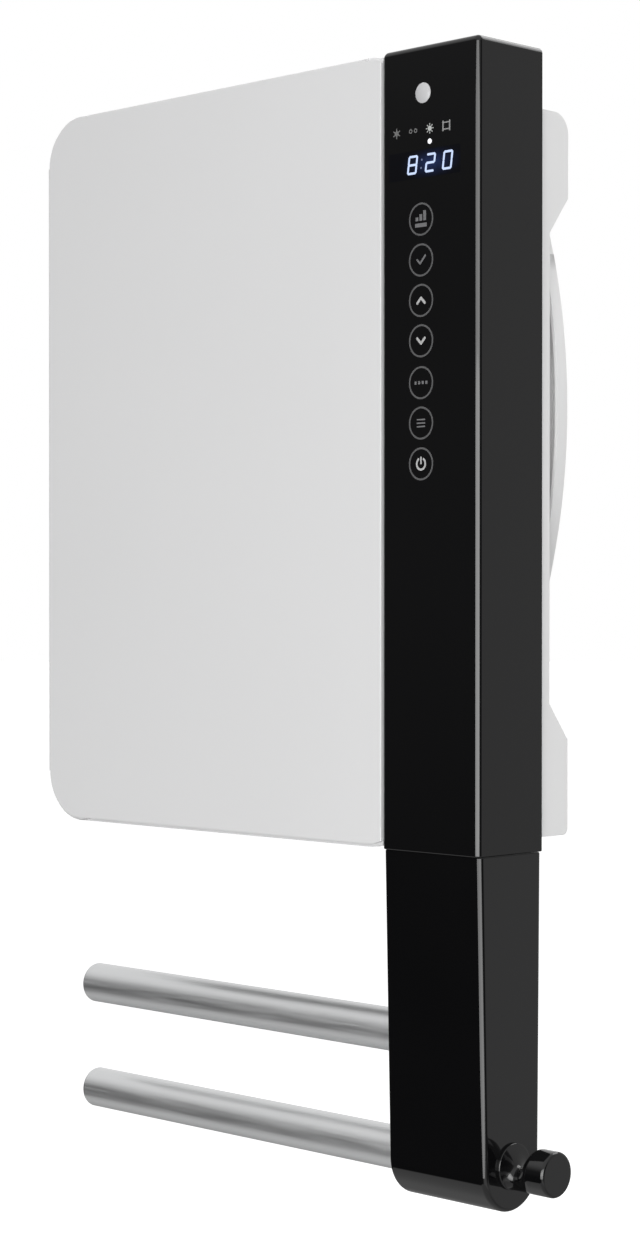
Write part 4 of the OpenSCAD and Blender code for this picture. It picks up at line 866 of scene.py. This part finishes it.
@dataclass
class UpperColumn:
    """The gloss fascia and the half-gloss shell behind it."""

    wardrobe: Wardrobe
    shell: Piece
    top_corner: float = 3.5 * MM
    front_edge: float = 3.2 * MM
    foot_edge: float = 0.8 * MM
    rear_edge: float = 0.8 * MM
    lens_gap: float = 0.1 * MM
    corner_fill: float = 5.0 * MM
    arc_play: float = 0.2 * MM

    def build_fascia(self) -> Piece:
        """Builds the fascia, rounded at its sides and top, with the hole for the sensor's dome.

        Returns:
            The fascia.
        """
        lo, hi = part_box("fascia")
        bm = block(lo, hi)
        along = [e for e in bm.edges if all(v.co.z > hi.z - SAME for v in e.verts)
                 and abs(e.verts[0].co.y - e.verts[1].co.y) > SAME]
        bevel(bm, along, self.top_corner, segments=10)
        front = [e for e in bm.edges if all(v.co.y < lo.y + SAME for v in e.verts)
                 and any(v.co.z > lo.z + SAME for v in e.verts)]
        bevel(bm, front, self.front_edge, segments=8)
        foot = [e for e in bm.edges if all(v.co.z < lo.z + SAME for v in e.verts)
                and any(v.co.y < hi.y - SAME for v in e.verts)]
        bevel(bm, foot, self.foot_edge, segments=3)
        dome_lo, dome_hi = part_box("presence_sensor")
        at = (dome_lo + dome_hi) / 2
        hole = rod((at.x, lo.y - OVERSHOOT, at.z), (at.x, hi.y + OVERSHOOT, at.z),
                   (dome_hi.x - dome_lo.x) / 2 + self.lens_gap)
        bm = combine(bm, [("DIFFERENCE", hole)])
        return dress_in_place(bm, "fascia_glass", "fascia", self.wardrobe, "gloss_black")

    def corner_post(self, x: float, z: float, upper: bool) -> BMesh:
        """Returns a post that fills one corner of the shell up to the fascia's outline.

        Args:
            x: The corner's place.
            z: The corner's place.
            upper: Whether it is one of the two at the top.

        Returns:
            The closed bmesh.
        """
        lo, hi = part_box("column_shell")
        inner_x = x + math.copysign(self.corner_fill, (lo.x + hi.x) / 2 - x)
        inner_z = z + math.copysign(self.corner_fill, (lo.z + hi.z) / 2 - z)
        post = block((min(x, inner_x), lo.y, min(z, inner_z)), (max(x, inner_x), hi.y, max(z, inner_z)))
        outer = [e for e in post.edges
                 if all(abs(v.co.x - x) < MERGE and abs(v.co.z - z) < MERGE for v in e.verts)]
        if upper:
            bevel(post, outer, self.top_corner, segments=8)
        else:
            bevel(post, outer, self.foot_edge, segments=3)
        return post

    def build_shell(self) -> Piece:
        """Builds the shell with the fascia's corners and softened rear edges.

        Returns:
            The shell.
        """
        lo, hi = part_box("column_shell")
        steps = [("UNION", self.corner_post(x, z, upper)) for z, upper in ((lo.z, False), (hi.z, True))
                 for x in (lo.x, hi.x)]
        bm = combine(solid_copy(self.shell), steps)
        join_flat_faces(bm)
        reach = self.top_corner + SAME

        def on_rear_rim(p: Vector) -> bool:
            """Tells whether a point lies on the outside of the rear rim.

            Args:
                p: The point.

            Returns:
                Whether it does.
            """
            side, end = min(p.x - lo.x, hi.x - p.x), min(p.z - lo.z, hi.z - p.z)
            in_corner = max(side, end) < reach
            on_arc = in_corner and math.hypot(side - reach, end - reach) > reach - self.arc_play
            return p.y > hi.y - SAME and (on_arc or min(side, end) < SAME)

        round_edges(bm, self.rear_edge, lambda *ends: all(map(on_rear_rim, ends)), segments=3)
        return dress_in_place(bm, "column_upper", "column_shell", self.wardrobe, "graphite")


@dataclass
class LowerColumn:
    """The lower column: a leaning slab with a half-round end, hollow for the spine."""

    wardrobe: Wardrobe
    edge: float = 3.2 * MM
    wall: float = 2.2 * MM
    seat: float = 0.2 * MM
    lip_height: float = 0.5 * MM
    lip_in: float = 1.2 * MM
    spine_depth: float = 15.0 * MM
    spine_gap: float = 0.6 * MM
    end_steps: int = 144

    def __post_init__(self) -> None:
        """Takes its lines from the CAD part."""
        self.lo, self.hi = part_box("column_lower_shell")
        self.axis = sum(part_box("towel_rail_lower"), Vector()) / 2
        self.radius = self.axis.z - self.lo.z
        self.top = self.hi.z - self.lip_height

    def prism(self, x0: float, x1: float, inset: float) -> BMesh:
        """Returns the column's side outline as a solid between two planes.

        Args:
            x0: First plane.
            x1: Second plane.
            inset: How far the outline is moved in.

        Returns:
            The closed bmesh.
        """
        bm = bmesh.new()
        for x in (x0, x1):
            stand = Matrix.Translation((x, self.axis.y, self.axis.z)) @ Matrix.Rotation(math.pi / 2, 4, "Y")
            bmesh.ops.create_circle(bm, cap_ends=False, segments=self.end_steps, radius=self.radius - inset,
                                    matrix=stand)
            for y in (self.lo.y + inset, self.hi.y - inset):
                bm.verts.new((x, y, self.top))
        made = bmesh.ops.convex_hull(bm, input=bm.verts)
        spare = {g for key in ("geom_interior", "geom_unused") for g in made[key]}
        bmesh.ops.delete(bm, geom=[g for g in spare if isinstance(g, bmesh.types.BMVert)], context="VERTS")
        bmesh.ops.delete(bm, geom=[e for e in bm.edges if not e.link_faces], context="EDGES")
        join_flat_faces(bm, 0.5)
        return bm

    def bore(self, node: str, start: float, end: float) -> BMesh:
        """Returns the bore for a round piece that lies along X.

        Args:
            node: The CAD node of that piece.
            start: Where the bore begins.
            end: Where it ends.

        Returns:
            The closed bmesh.
        """
        lo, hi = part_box(node)
        z = (lo.z + hi.z) / 2
        return rod((start, self.axis.y, z), (end, self.axis.y, z), (hi.z - lo.z) / 2 + self.seat)

    def cutters(self) -> list[BMesh]:
        """Returns what is cut out: the hollow, the spine's passage, the bores and the service opening.

        Returns:
            The closed bmeshes.
        """
        lo, hi, wall, seat = self.lo, self.hi, self.wall, self.seat
        hollow = self.prism(lo.x + wall, hi.x - wall, wall)
        ceiling = block((lo.x, lo.y, self.top - wall), (hi.x, hi.y, self.top + wall))
        spine_lo, spine_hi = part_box("column_spine")
        passage = block((spine_lo.x - self.spine_gap, spine_hi.y - self.spine_depth, self.top - 2 * wall),
                        (spine_hi.x + self.spine_gap, spine_hi.y + self.spine_gap, hi.z + wall))
        rails = [self.bore(rail, lo.x - OVERSHOOT, lo.x + 2 * wall)
                 for rail in ("towel_rail_upper", "towel_rail_lower")]
        stud = self.bore("hook_stud", hi.x - 2 * wall, hi.x + OVERSHOOT)
        cover_lo, cover_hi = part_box("column_lower_cover")
        opening = block((cover_lo.x - seat, cover_hi.y - 2 * wall, cover_lo.z - seat),
                        (cover_hi.x + seat, 0.0, cover_hi.z + seat))
        return [combine(hollow, [("DIFFERENCE", ceiling)]), passage, *rails, stud, opening]

    def build(self) -> Piece:
        """Builds the shell with its rounded sides, seam lip and openings.

        Returns:
            The shell.
        """
        lo, hi = self.lo, self.hi
        outer = self.prism(lo.x, hi.x, 0.0)
        rim = [e for e in outer.edges if abs(e.verts[0].co.x - e.verts[1].co.x) < MERGE
               and min(v.co.z for v in e.verts) < self.top - SAME]
        bevel(outer, rim, self.edge, segments=8)
        lip = block((lo.x + self.lip_in, lo.y + self.lip_in, self.top - self.wall / 2),
                    (hi.x - self.lip_in, hi.y - self.lip_in, hi.z))
        bm = combine(outer, [("UNION", lip), *(("DIFFERENCE", cutter) for cutter in self.cutters())])
        return dress_in_place(bm, "column_lower", "column_lower_shell", self.wardrobe, "gloss_black")


@dataclass
class RobeHook:
    """The robe hook: a round foot and head, and between them a body scooped out at its top."""

    wardrobe: Wardrobe
    foot_depth: float = 1.8 * MM
    foot_edge: float = 0.6 * MM
    head_radius: float = 13.0 * MM
    neck_radius: float = 6.6 * MM
    neck_at: float = 6.2 * MM
    head_at: float = 21.4 * MM
    end_edge: float = 2.0 * MM
    quarter_steps: int = 6
    body_steps: int = 16
    round_steps: int = 96

    def rounds(self, length: float, foot_radius: float) -> list[Triple]:
        """Lists the circles that the hook is lofted through.

        Args:
            length: How far the hook stands out.
            foot_radius: Radius of its foot.

        Returns:
            For each circle its distance from the column, its radius and how far it hangs below the axis.
        """
        quarter = [math.pi / 2 * i / self.quarter_steps for i in range(self.quarter_steps + 1)]
        foot = [(0.0, foot_radius, 0.0)]
        foot += [(self.foot_depth - self.foot_edge * (1 - math.sin(a)),
                  foot_radius - self.foot_edge * (1 - math.cos(a)), 0.0) for a in quarter]
        reach, rise = self.neck_at - self.foot_depth, foot_radius - self.foot_edge - self.neck_radius
        body = [(self.foot_depth + reach * (1 - math.cos(a)), self.neck_radius + rise * (1 - math.sin(a)))
                for a in quarter[1:]]
        for i in range(1, self.body_steps + 1):
            t = i / self.body_steps
            grown = self.neck_radius + (self.head_radius - self.neck_radius) * t * t * (3 - 2 * t)
            body.append((self.neck_at + (self.head_at - self.neck_at) * t, grown))
        end = [(length - self.end_edge * (1 - math.sin(a)),
                self.head_radius - self.end_edge * (1 - math.cos(a)), 0.0) for a in quarter]
        return foot + [(x, r, self.head_radius - r) for x, r in body] + end

    def build(self) -> Piece:
        """Builds the hook from circles that are bridged one to the next.

        Returns:
            The hook.
        """
        lo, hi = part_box("robe_hook")
        axis = (lo + hi) / 2
        bm = bmesh.new()
        rims = []
        for x, radius, drop in self.rounds(hi.x - lo.x, (hi.z - lo.z) / 2):
            at = Matrix.Translation((lo.x + x, axis.y, axis.z - drop)) @ Matrix.Rotation(math.pi / 2, 4, "Y")
            rims.append(rim_of(bmesh.ops.create_circle(bm, cap_ends=False, segments=self.round_steps,
                                                       radius=radius, matrix=at)))
        for a, b in zip(rims, rims[1:]):
            bmesh.ops.bridge_loops(bm, edges=a + b)
        for rim in (rims[0], rims[-1]):
            bmesh.ops.contextual_create(bm, geom=rim)
        bmesh.ops.recalc_face_normals(bm, faces=bm.faces)
        return dress_in_place(bm, "hook_turned", "robe_hook", self.wardrobe, "hook_black", smooth_angle=50.0)


class Outline(Enum):
    """Which outline of a rear moulding is rounded."""

    FRONT_RIM = "front rim"
    REAR_SIDES = "rear edges of both sides"
    REAR_ENDS = "rear edges of both ends"


@dataclass
class RearHousing:
    """The white casing, its feet and the intake cowl."""

    wardrobe: Wardrobe
    nodes: dict[str, Piece]
    casing_round: float = 1.0 * MM
    foot_round: float = 1.2 * MM
    cowl_round: float = 2.4 * MM
    cowl_end: float = 12.0 * MM

    def picked(self, box: Sequence[Vector], outline: Outline, a: Vector, b: Vector) -> bool:
        """Tells whether an edge lies on the outline that is rounded.

        Args:
            box: Lowest and highest corner of the moulding.
            outline: The outline.
            a: One end of the edge.
            b: Its other end.

        Returns:
            Whether it does.
        """
        lo, hi = box
        on_side = all(abs(abs(p.x) - hi.x) < SAME for p in (a, b))
        on_end = any(all(abs(p.z - z) < SAME for p in (a, b)) for z in (lo.z, hi.z))
        if outline is Outline.FRONT_RIM:
            return (on_side or on_end) and max(a.y, b.y) < lo.y + SAME
        if outline is Outline.REAR_SIDES:
            return on_side and min(a.y, b.y) > lo.y + SAME
        return min(a.y, b.y) > hi.y - SAME and min(abs(a.z - lo.z), abs(a.z - hi.z)) < self.cowl_end

    def moulding(self, node: str, radius: float, outline: Outline) -> Piece:
        """Builds one moulding with a softened outline.

        Args:
            node: The CAD node that it replaces.
            radius: The rounding.
            outline: Where it goes.

        Returns:
            The moulding.
        """
        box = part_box(node)
        bm = solid_copy(self.nodes[node])
        round_edges(bm, radius, lambda a, b: self.picked(box, outline, a, b), segments=4)
        return dress_in_place(bm, f"{node}_moulding", node, self.wardrobe, "casing")

    def build(self) -> list[Piece]:
        """Builds the three mouldings.

        Returns:
            The casing, its feet and the cowl.
        """
        return [self.moulding("rear_casing", self.casing_round, Outline.FRONT_RIM),
                self.moulding("casing_feet", self.foot_round, Outline.REAR_SIDES),
                self.moulding("intake_cowl", self.cowl_round, Outline.REAR_ENDS)]


class Key(Enum):
    """The touch keys by their symbols, with their distances below the fascia's top in millimetres."""

    LEVELS = 99.0
    TICK = 122.2
    UP = 145.2
    DOWN = 168.2
    DOTS = 192.0
    LINES = 215.0
    POWER = 238.2


class State(Enum):
    """The small state symbols, with their distances from the fascia's right side in millimetres."""

    SPOKES = 63.1
    RINGS = 50.2
    RAYS = 37.3
    FRAME = 24.6


SEGMENTS = {"0": "abcdef", "2": "abged", "8": "abcdefg"}


@dataclass
class OnFascia:
    """What is printed on the fascia or lit behind it, placed from its right side and its top."""

    def __post_init__(self) -> None:
        """Takes the fascia's planes from the CAD part."""
        lo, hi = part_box("fascia")
        self.y, self.right, self.top = lo.y, hi.x, hi.z


@dataclass
class TouchKeys(OnFascia):
    """The seven rings with their symbols, which are given in plain millimetres from a ring's centre."""

    key_in: float = 44.0 * MM
    ring_radius: float = 9.4 * MM
    ring_width: float = 1.05 * MM
    levels: tuple[Pair, ...] = ((-3.2, 1.2), (-0.2, 2.8), (2.8, 4.8))
    level_foot: float = -0.9
    level_width: float = 2.1
    base: tuple[Pair, ...] = ((-4.6, -3.4), (4.4, -3.4))
    base_width: float = 2.2
    tick: tuple[Pair, ...] = ((-3.0, 0.2), (-0.7, -2.0), (3.3, 2.4))
    tick_width: float = 1.15
    chevron: tuple[Pair, ...] = ((-2.9, -1.5), (0.0, 1.5), (2.9, -1.5))
    chevron_width: float = 1.5
    dots: tuple[float, ...] = (-4.2, -1.4, 1.4, 4.2)
    dot_size: Pair = (1.5, 1.8)
    lines: tuple[float, ...] = (-2.0, 0.0, 2.0)
    line_size: Pair = (6.4, 0.8)
    power_radius: float = 3.3 * MM
    power_span: Pair = (118.0, 422.0)
    power_width: float = 1.25 * MM
    power_bar: tuple[Pair, ...] = ((0.0, 0.2), (0.0, 3.6))
    power_bar_width: float = 1.1

    def centre(self, key: Key) -> Pair:
        """Returns the centre of a key."""
        return self.right - self.key_in, self.top - key.value * MM

    def build_rings(self) -> Piece:
        """Prints the ring of each key.

        Returns:
            The rings.
        """
        plate = Plate(self.y)
        for key in Key:
            plate.ring(*self.centre(key), self.ring_radius, self.ring_width)
        return plate.make("key_rings", Print("ring_ink", (0.085, 0.085, 0.087)), "gloss_black")

    def build_symbols(self) -> list[Piece]:
        """Prints a generic symbol in each ring.

        Returns:
            The dim and the bright symbols.
        """
        dim, bright = Plate(self.y), Plate(self.y)
        at = self.centre(Key.LEVELS)
        for x, top in self.levels:
            dim.strokes(at, ((x, self.level_foot), (x, top)), self.level_width, rounded=False)
        dim.strokes(at, self.base, self.base_width, rounded=False)
        dim.strokes(self.centre(Key.TICK), self.tick, self.tick_width)
        bright.strokes(self.centre(Key.UP), self.chevron, self.chevron_width)
        bright.strokes(self.centre(Key.DOWN), [(x, -z) for x, z in self.chevron], self.chevron_width)
        width, height = self.dot_size
        for x in self.dots:
            dim.strokes(self.centre(Key.DOTS), ((x, -height / 2), (x, height / 2)), width, rounded=False)
        length, width = self.line_size
        for z in self.lines:
            dim.strokes(self.centre(Key.LINES), ((-length / 2, z), (length / 2, z)), width, rounded=False)
        bright.arc(*self.centre(Key.POWER), self.power_radius, self.power_span, self.power_width)
        bright.strokes(self.centre(Key.POWER), self.power_bar, self.power_bar_width)
        ink = Print("symbol_ink", (0.14, 0.14, 0.145))
        bright_ink = Print("symbol_ink_bright", (0.42, 0.42, 0.42))
        return [dim.make("key_symbols_dim", ink, "gloss_black"),
                bright.make("key_symbols_bright", bright_ink, "gloss_black")]


@dataclass
class StateSymbols(OnFascia):
    """The four small state symbols above the display; strokes are in plain millimetres from a centre."""

    drop: float = 48.2 * MM
    stroke: float = 0.6
    spoke_angles: tuple[float, ...] = (30.0, 90.0, 150.0)
    spoke: float = 2.7
    hub: float = 1.5 * MM
    ring_shift: float = 1.9 * MM
    ring: float = 1.3 * MM
    frame_sides: tuple[float, ...] = (-2.5, 2.5)
    frame_side: float = 3.0
    frame_side_width: float = 1.0
    frame_ends: tuple[float, ...] = (-1.9, 1.9)
    frame_end_width: float = 0.7
    sun: float = 1.5 * MM
    rays: int = 8
    ray: Pair = (2.1, 2.7)
    ray_width: float = 0.55

    def centre(self, state: State) -> Pair:
        """Returns the centre of a state symbol."""
        return self.right - state.value * MM, self.top - self.drop

    def build(self) -> list[Piece]:
        """Prints the symbols.

        Returns:
            The dim symbols, the frame and the lit symbol.
        """
        dim, frame, glow = Plate(self.y), Plate(self.y), Plate(self.y)
        x, z = self.centre(State.SPOKES)
        for angle in map(math.radians, self.spoke_angles):
            dx, dz = self.spoke * math.cos(angle), self.spoke * math.sin(angle)
            dim.strokes((x, z), ((-dx, -dz), (dx, dz)), self.stroke)
        dim.ring(x, z, self.hub, self.stroke * MM, segments=24)
        x, z = self.centre(State.RINGS)
        for shift in (-self.ring_shift, self.ring_shift):
            dim.ring(x + shift, z, self.ring, self.stroke * MM, segments=20)
        at = self.centre(State.FRAME)
        for side in self.frame_sides:
            frame.strokes(at, ((side, -self.frame_side), (side, self.frame_side)), self.frame_side_width,
                          rounded=False)
        for end in self.frame_ends:
            frame.strokes(at, [(side, end) for side in self.frame_sides], self.frame_end_width, rounded=False)
        x, z = self.centre(State.RAYS)
        glow.disc(x, z, self.sun)
        for i in range(self.rays):
            angle = 2 * math.pi * i / self.rays
            ends = [(r * math.cos(angle), r * math.sin(angle)) for r in self.ray]
            glow.strokes((x, z), ends, self.ray_width)
        return [dim.make("state_symbols", Print("pictogram_ink", (0.15, 0.15, 0.15)), "gloss_black"),
                frame.make("state_symbol_frame", Print("frame_ink", (0.24, 0.24, 0.24)), "gloss_black"),
                glow.make("state_symbol_lit", Lit("pictogram_lit", (0.38, 0.39, 0.38)), "light_guide")]


@dataclass
class Display(OnFascia):
    """The smoked window with the lit time, and the indicator dot above it."""

    window_in: Pair = (69.0 * MM, 13.8 * MM)
    window_height: float = 16.0 * MM
    window_depth: float = 0.03 * MM
    glow_in: float = 36.0 * MM
    shown: tuple[tuple[str, float], ...] = (("8", 50.6 * MM), ("2", 36.8 * MM), ("0", 23.6 * MM))
    drop: float = 67.6 * MM
    height: float = 10.8 * MM
    width: float = 7.4 * MM
    stroke: float = 1.3 * MM
    gap: float = 0.55 * MM
    lean: float = 0.14
    colon_in: float = 43.7 * MM
    colon_half: float = 2.3 * MM
    colon_radius: float = 0.55 * MM
    dot_in: float = 37.3 * MM
    dot_drop: float = 55.5 * MM
    dot_radius: float = 1.5 * MM
    lit_depth: float = 0.09 * MM

    def build(self) -> list[Piece]:
        """Builds the window, the digits, the colon and the dot.

        Returns:
            The four pieces.
        """
        z = self.top - self.drop
        window = Plate(self.y, self.window_depth)
        left, right = (self.right - x for x in self.window_in)
        window.bar((left, z), (right, z), self.window_height, rounded=False)
        # the window's material carries a painted glow round the digits
        window_with_painted_glow = SmokedWindow("smoked_window", Vector((self.right - self.glow_in, self.y, z)))
        digits, colon, dot = (Plate(self.y, self.lit_depth) for _ in range(3))
        for digit, x_in in self.shown:
            self.draw_digit(digits, self.right - x_in, z, SEGMENTS[digit])
        for dz in (-self.colon_half, self.colon_half):
            colon.disc(self.right - self.colon_in + self.lean * dz, z + dz, self.colon_radius)
        dot.disc(self.right - self.dot_in, self.top - self.dot_drop, self.dot_radius, segments=32)
        return [window.make("display_window", window_with_painted_glow, "display"),
                digits.make("display_digits", Lit("digit_light", (0.55, 0.66, 0.92), 0.95), "light_guide"),
                colon.make("display_colon", Lit("colon_light", (0.12, 0.15, 0.26)), "light_guide"),
                dot.make("indicator_dot", Lit("indicator_white", (0.95, 0.95, 1.0), 1.1), "light_guide")]

    def draw_digit(self, plate: Plate, x: float, z: float, lit: str) -> None:
        """Draws one seven-segment digit.

        Args:
            plate: The drawing.
            x: Its centre.
            z: Its centre.
            lit: The letters of its lit segments.
        """
        w, h, gap = (self.width - self.stroke) / 2, (self.height - self.stroke) / 2, self.gap
        ends = {
            "a": ((-w + gap, h), (w - gap, h)),
            "b": ((w, h - gap), (w, gap)),
            "c": ((w, -gap), (w, -h + gap)),
            "d": ((-w + gap, -h), (w - gap, -h)),
            "e": ((-w, -gap), (-w, -h + gap)),
            "f": ((-w, h - gap), (-w, gap)),
            "g": ((-w + gap, 0.0), (w - gap, 0.0)),
        }
        for name in lit:
            (ax, az), (bx, bz) = ends[name]
            plate.bar((x + ax + az * self.lean, z + az), (x + bx + bz * self.lean, z + bz), self.stroke)


# ----------------------------------------------------------------------- studio


class SeenBy(Enum):
    """Who sees a lamp: diffuse rays first, then glossy rays."""

    ALL = (True, True)
    DIFFUSE = (True, False)
    GLOSSY = (False, True)


@dataclass(frozen=True)
class Lamp:
    """A soft rectangular lamp, in metres and watts."""

    name: str
    at: Triple
    aim: Triple
    size: Pair
    power: float
    seen_by: SeenBy = SeenBy.ALL

    def build(self) -> None:
        """Hangs the lamp."""
        data = bpy.data.lights.new(self.name, "AREA")
        data.shape = "RECTANGLE"
        data.size, data.size_y = self.size
        data.energy = self.power
        lamp = bpy.data.objects.new(self.name, data)
        lamp.location = self.at
        lamp.rotation_mode = "QUATERNION"
        lamp.rotation_quaternion = (Vector(self.aim) - Vector(self.at)).to_track_quat("-Z", "Y")
        lamp.visible_camera = False
        lamp.visible_diffuse, lamp.visible_glossy = self.seen_by.value
        bpy.context.scene.collection.objects.link(lamp)


@dataclass(frozen=True)
class Ramp:
    """A smooth change from one level to another while a value goes from start to end."""

    start: float
    end: float
    low: float = 0.0
    high: float = 1.0


@dataclass(frozen=True)
class Side:
    """A side of the room: its compass angle from +X to +Y in degrees, and its level as a ray turns to it."""

    degrees: float
    fade: Ramp


class Sky(Nodes):
    """The world's node tree."""

    def __init__(self, name: str) -> None:
        """Starts an empty world.

        Args:
            name: The world's name.
        """
        self.world = bpy.data.worlds.new(name)
        self.world.use_nodes = True
        super().__init__(self.world.node_tree)
        self.ray = self.node("LightPath")
        self.direction = self.node("TexCoord").outputs["Generated"]
        self.height = self.node("SeparateXYZ", {0: self.direction}).outputs["Z"]

    def level(self, value: Socket, ramp: Ramp) -> Socket:
        """Returns the level of a ramp at a value.

        Args:
            value: The value.
            ramp: The ramp.

        Returns:
            The level's socket.
        """
        values = {"Value": value, 1: ramp.start, 2: ramp.end, 3: ramp.low, 4: ramp.high}
        return self.node("MapRange", values, interpolation_type="SMOOTHSTEP").outputs["Result"]

    def at_height(self, ramp: Ramp) -> Socket:
        """Returns the level of a ramp at the height that a ray looks to."""
        return self.level(self.height, ramp)

    def towards(self, side: Side) -> Socket:
        """Returns a side's level for a ray, by how much it looks that way.

        Args:
            side: The side.

        Returns:
            The level's socket.
        """
        a = math.radians(side.degrees)
        aim = (math.cos(a), math.sin(a), 0.0)
        turned = self.node("VectorMath", {0: self.direction, 1: aim}, operation="DOT_PRODUCT")
        return self.level(turned.outputs["Value"], side.fade)

    def mix(self, share: Socket, without: Socket | float, with_it: Socket | float) -> Socket:
        """Blends two levels."""
        return self.node("Mix", {0: share, 2: without, 3: with_it}, data_type="FLOAT").outputs[0]

    def hang(self, level: Socket) -> None:
        """Makes the tree the scene's world.

        Args:
            level: The level of white that each ray sees.
        """
        white = self.node("Background", {"Color": WHITE, "Strength": level})
        self.node("OutputWorld", {"Surface": white.outputs[0]}).is_active_output = True
        bpy.context.scene.world = self.world


@dataclass(frozen=True)
class Room:
    """The white room: plain for diffuse light, with dark sides that only reflections see."""

    ambient: Ramp = Ramp(-0.8, 0.4, 0.04, 0.62)
    bright: Ramp = Ramp(-0.54, -0.50, 0.62, 0.95)
    duller: Side = Side(55.0, Ramp(0.2, 0.8, 1.0, 0.57))
    front: Side = Side(225.0, Ramp(0.1, 0.6))
    front_top: Ramp = Ramp(0.12, 0.62, 1.0, 0.0)
    front_foot: Ramp = Ramp(-0.54, -0.50)
    front_level: Ramp = Ramp(-0.2, 0.06, 0.012, 0.075)
    right: Side = Side(5.0, Ramp(0.90, 0.975))
    right_top: Ramp = Ramp(0.3, 0.6, 1.0, 0.0)
    right_level: float = 0.04
    rear: Side = Side(120.0, Ramp(0.2, 0.7))
    rear_top: Ramp = Ramp(-0.5, 0.0, 1.0, 0.0)
    rear_level: float = 0.3
    backdrop: float = 1.0

    def build(self) -> None:
        """Builds the world from the room's levels."""
        sky = Sky("studio")
        front = sky.times(sky.times(sky.towards(self.front), sky.at_height(self.front_top)),
                          sky.at_height(self.front_foot))
        right = sky.times(sky.towards(self.right), sky.at_height(self.right_top))
        rear = sky.times(sky.towards(self.rear), sky.at_height(self.rear_top))
        level = sky.times(sky.at_height(self.bright), sky.towards(self.duller))
        level = sky.mix(rear, level, self.rear_level)
        level = sky.mix(right, level, self.right_level)
        level = sky.mix(front, level, sky.at_height(self.front_level))
        level = sky.mix(sky.ray.outputs["Is Glossy Ray"], sky.at_height(self.ambient), level)
        for seen in ("Is Camera Ray", "Is Transmission Ray"):
            level = sky.mix(sky.ray.outputs[seen], level, self.backdrop)
        sky.hang(level)


@dataclass(frozen=True)
class Studio:
    """Camera, floor, room and lamps."""

    eye: Triple = (1.16643, -1.17810, -0.24887)
    azimuth: float = 45.1
    down: float = 0.58
    focal_px: float = 2627.6
    frame_height_px: float = 1250.0
    sensor_width: float = 36.0
    floor_z: float = -1.25
    floor_radius: float = 40.0
    floor_tones: Pair = (0.79, 0.81)
    floor_clouds: float = 3.0
    floor_lift: float = 0.6
    lamps: tuple[Lamp, ...] = (
        Lamp("key", (1.66, -2.10, -0.31), (0.19, -0.08, -0.31), (2.6, 1.9), 66.0, SeenBy.DIFFUSE),
        Lamp("rear_fill", (0.5, 2.3, 2.0), (0.0, 0.0, -0.25), (2.6, 1.6), 40.0),
        Lamp("wide_bank", (1.25, -2.35, -0.31), (0.19, -0.08, -0.31), (4.4, 1.9), 108.0, SeenBy.GLOSSY),
        Lamp("middle_bank", (1.27, -2.32, -0.28), (0.19, -0.08, -0.28), (4.4, 0.8), 22.0, SeenBy.GLOSSY),
    )

    def camera(self) -> None:
        """Sets the camera at the photograph's viewpoint."""
        data = bpy.data.cameras.new("view")
        data.sensor_fit = "AUTO"
        data.sensor_width = self.sensor_width
        data.lens = self.sensor_width * self.focal_px / self.frame_height_px
        data.clip_start, data.clip_end = 0.05, 100.0
        camera = bpy.data.objects.new("view", data)
        a, e = math.radians(self.azimuth), math.radians(self.down)
        look = Vector((-math.sin(a) * math.cos(e), math.cos(a) * math.cos(e), -math.sin(e)))
        camera.location = self.eye
        camera.rotation_mode = "QUATERNION"
        camera.rotation_quaternion = look.to_track_quat("-Z", "Y")
        bpy.context.scene.collection.objects.link(camera)
        bpy.context.scene.camera = camera

    def floor_finish(self) -> Material:
        """Makes the pale floor, which the camera sees nearly white.

        Returns:
            The material.
        """
        r = Recipe("pale_floor")
        low, high = self.floor_tones
        tone = r.between(r.noise(r.place(), self.floor_clouds), (low, low, low), (high, high, high))
        diffuse = r.node("BsdfDiffuse", {"Color": tone})
        white = r.node("Emission", {"Color": WHITE, "Strength": self.floor_lift})
        dark = r.node("Emission", {"Strength": 0.0})
        seen = r.node("LightPath").outputs["Is Camera Ray"]
        lift = r.node("MixShader", {"Fac": seen, 1: dark.outputs[0], 2: white.outputs[0]})
        return r.ends_in(r.node("AddShader", {0: diffuse.outputs[0], 1: lift.outputs[0]}).outputs[0])

    def floor(self) -> None:
        """Lays a wide pale floor under the hanging heater."""
        bm = bmesh.new()
        bmesh.ops.create_circle(bm, cap_ends=True, segments=64, radius=self.floor_radius,
                                matrix=Matrix.Translation((0.0, 0.0, self.floor_z)))
        mesh = bpy.data.meshes.new("floor")
        bm.to_mesh(mesh)
        bm.free()
        mesh.materials.append(self.floor_finish())
        floor = bpy.data.objects.new("floor", mesh)
        floor.visible_glossy = False
        floor.visible_diffuse = False
        bpy.context.scene.collection.objects.link(floor)

    def build(self) -> None:
        """Builds the whole studio."""
        self.camera()
        self.floor()
        Room().build()
        for lamp in self.lamps:
            lamp.build()
        bpy.context.scene.view_settings.view_transform = "Standard"


# ------------------------------------------------------------------------- main


def main() -> None:
    """Builds the heater's looks and its studio."""
    logging.basicConfig(level=logging.INFO, format="%(message)s")
    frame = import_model()
    nodes, record = frame["nodes"], frame["record"]
    wardrobe = Wardrobe()
    wardrobe.dress(nodes, record)
    made: list[Piece] = [FrontPanel(wardrobe, nodes["front_panel"]).build()]
    upper = UpperColumn(wardrobe, nodes["column_shell"])
    made += [upper.build_fascia(), upper.build_shell()]
    made += [LowerColumn(wardrobe).build(), RobeHook(wardrobe).build()]
    made += RearHousing(wardrobe, nodes).build()
    keys = TouchKeys()
    made += [keys.build_rings(), *keys.build_symbols(), *StateSymbols().build(), *Display().build()]
    for piece in made:
        LOG.info("%s: %d faces", piece.name, len(piece.data.polygons))
    Studio().build()


if __name__ == "__main__":
    main()
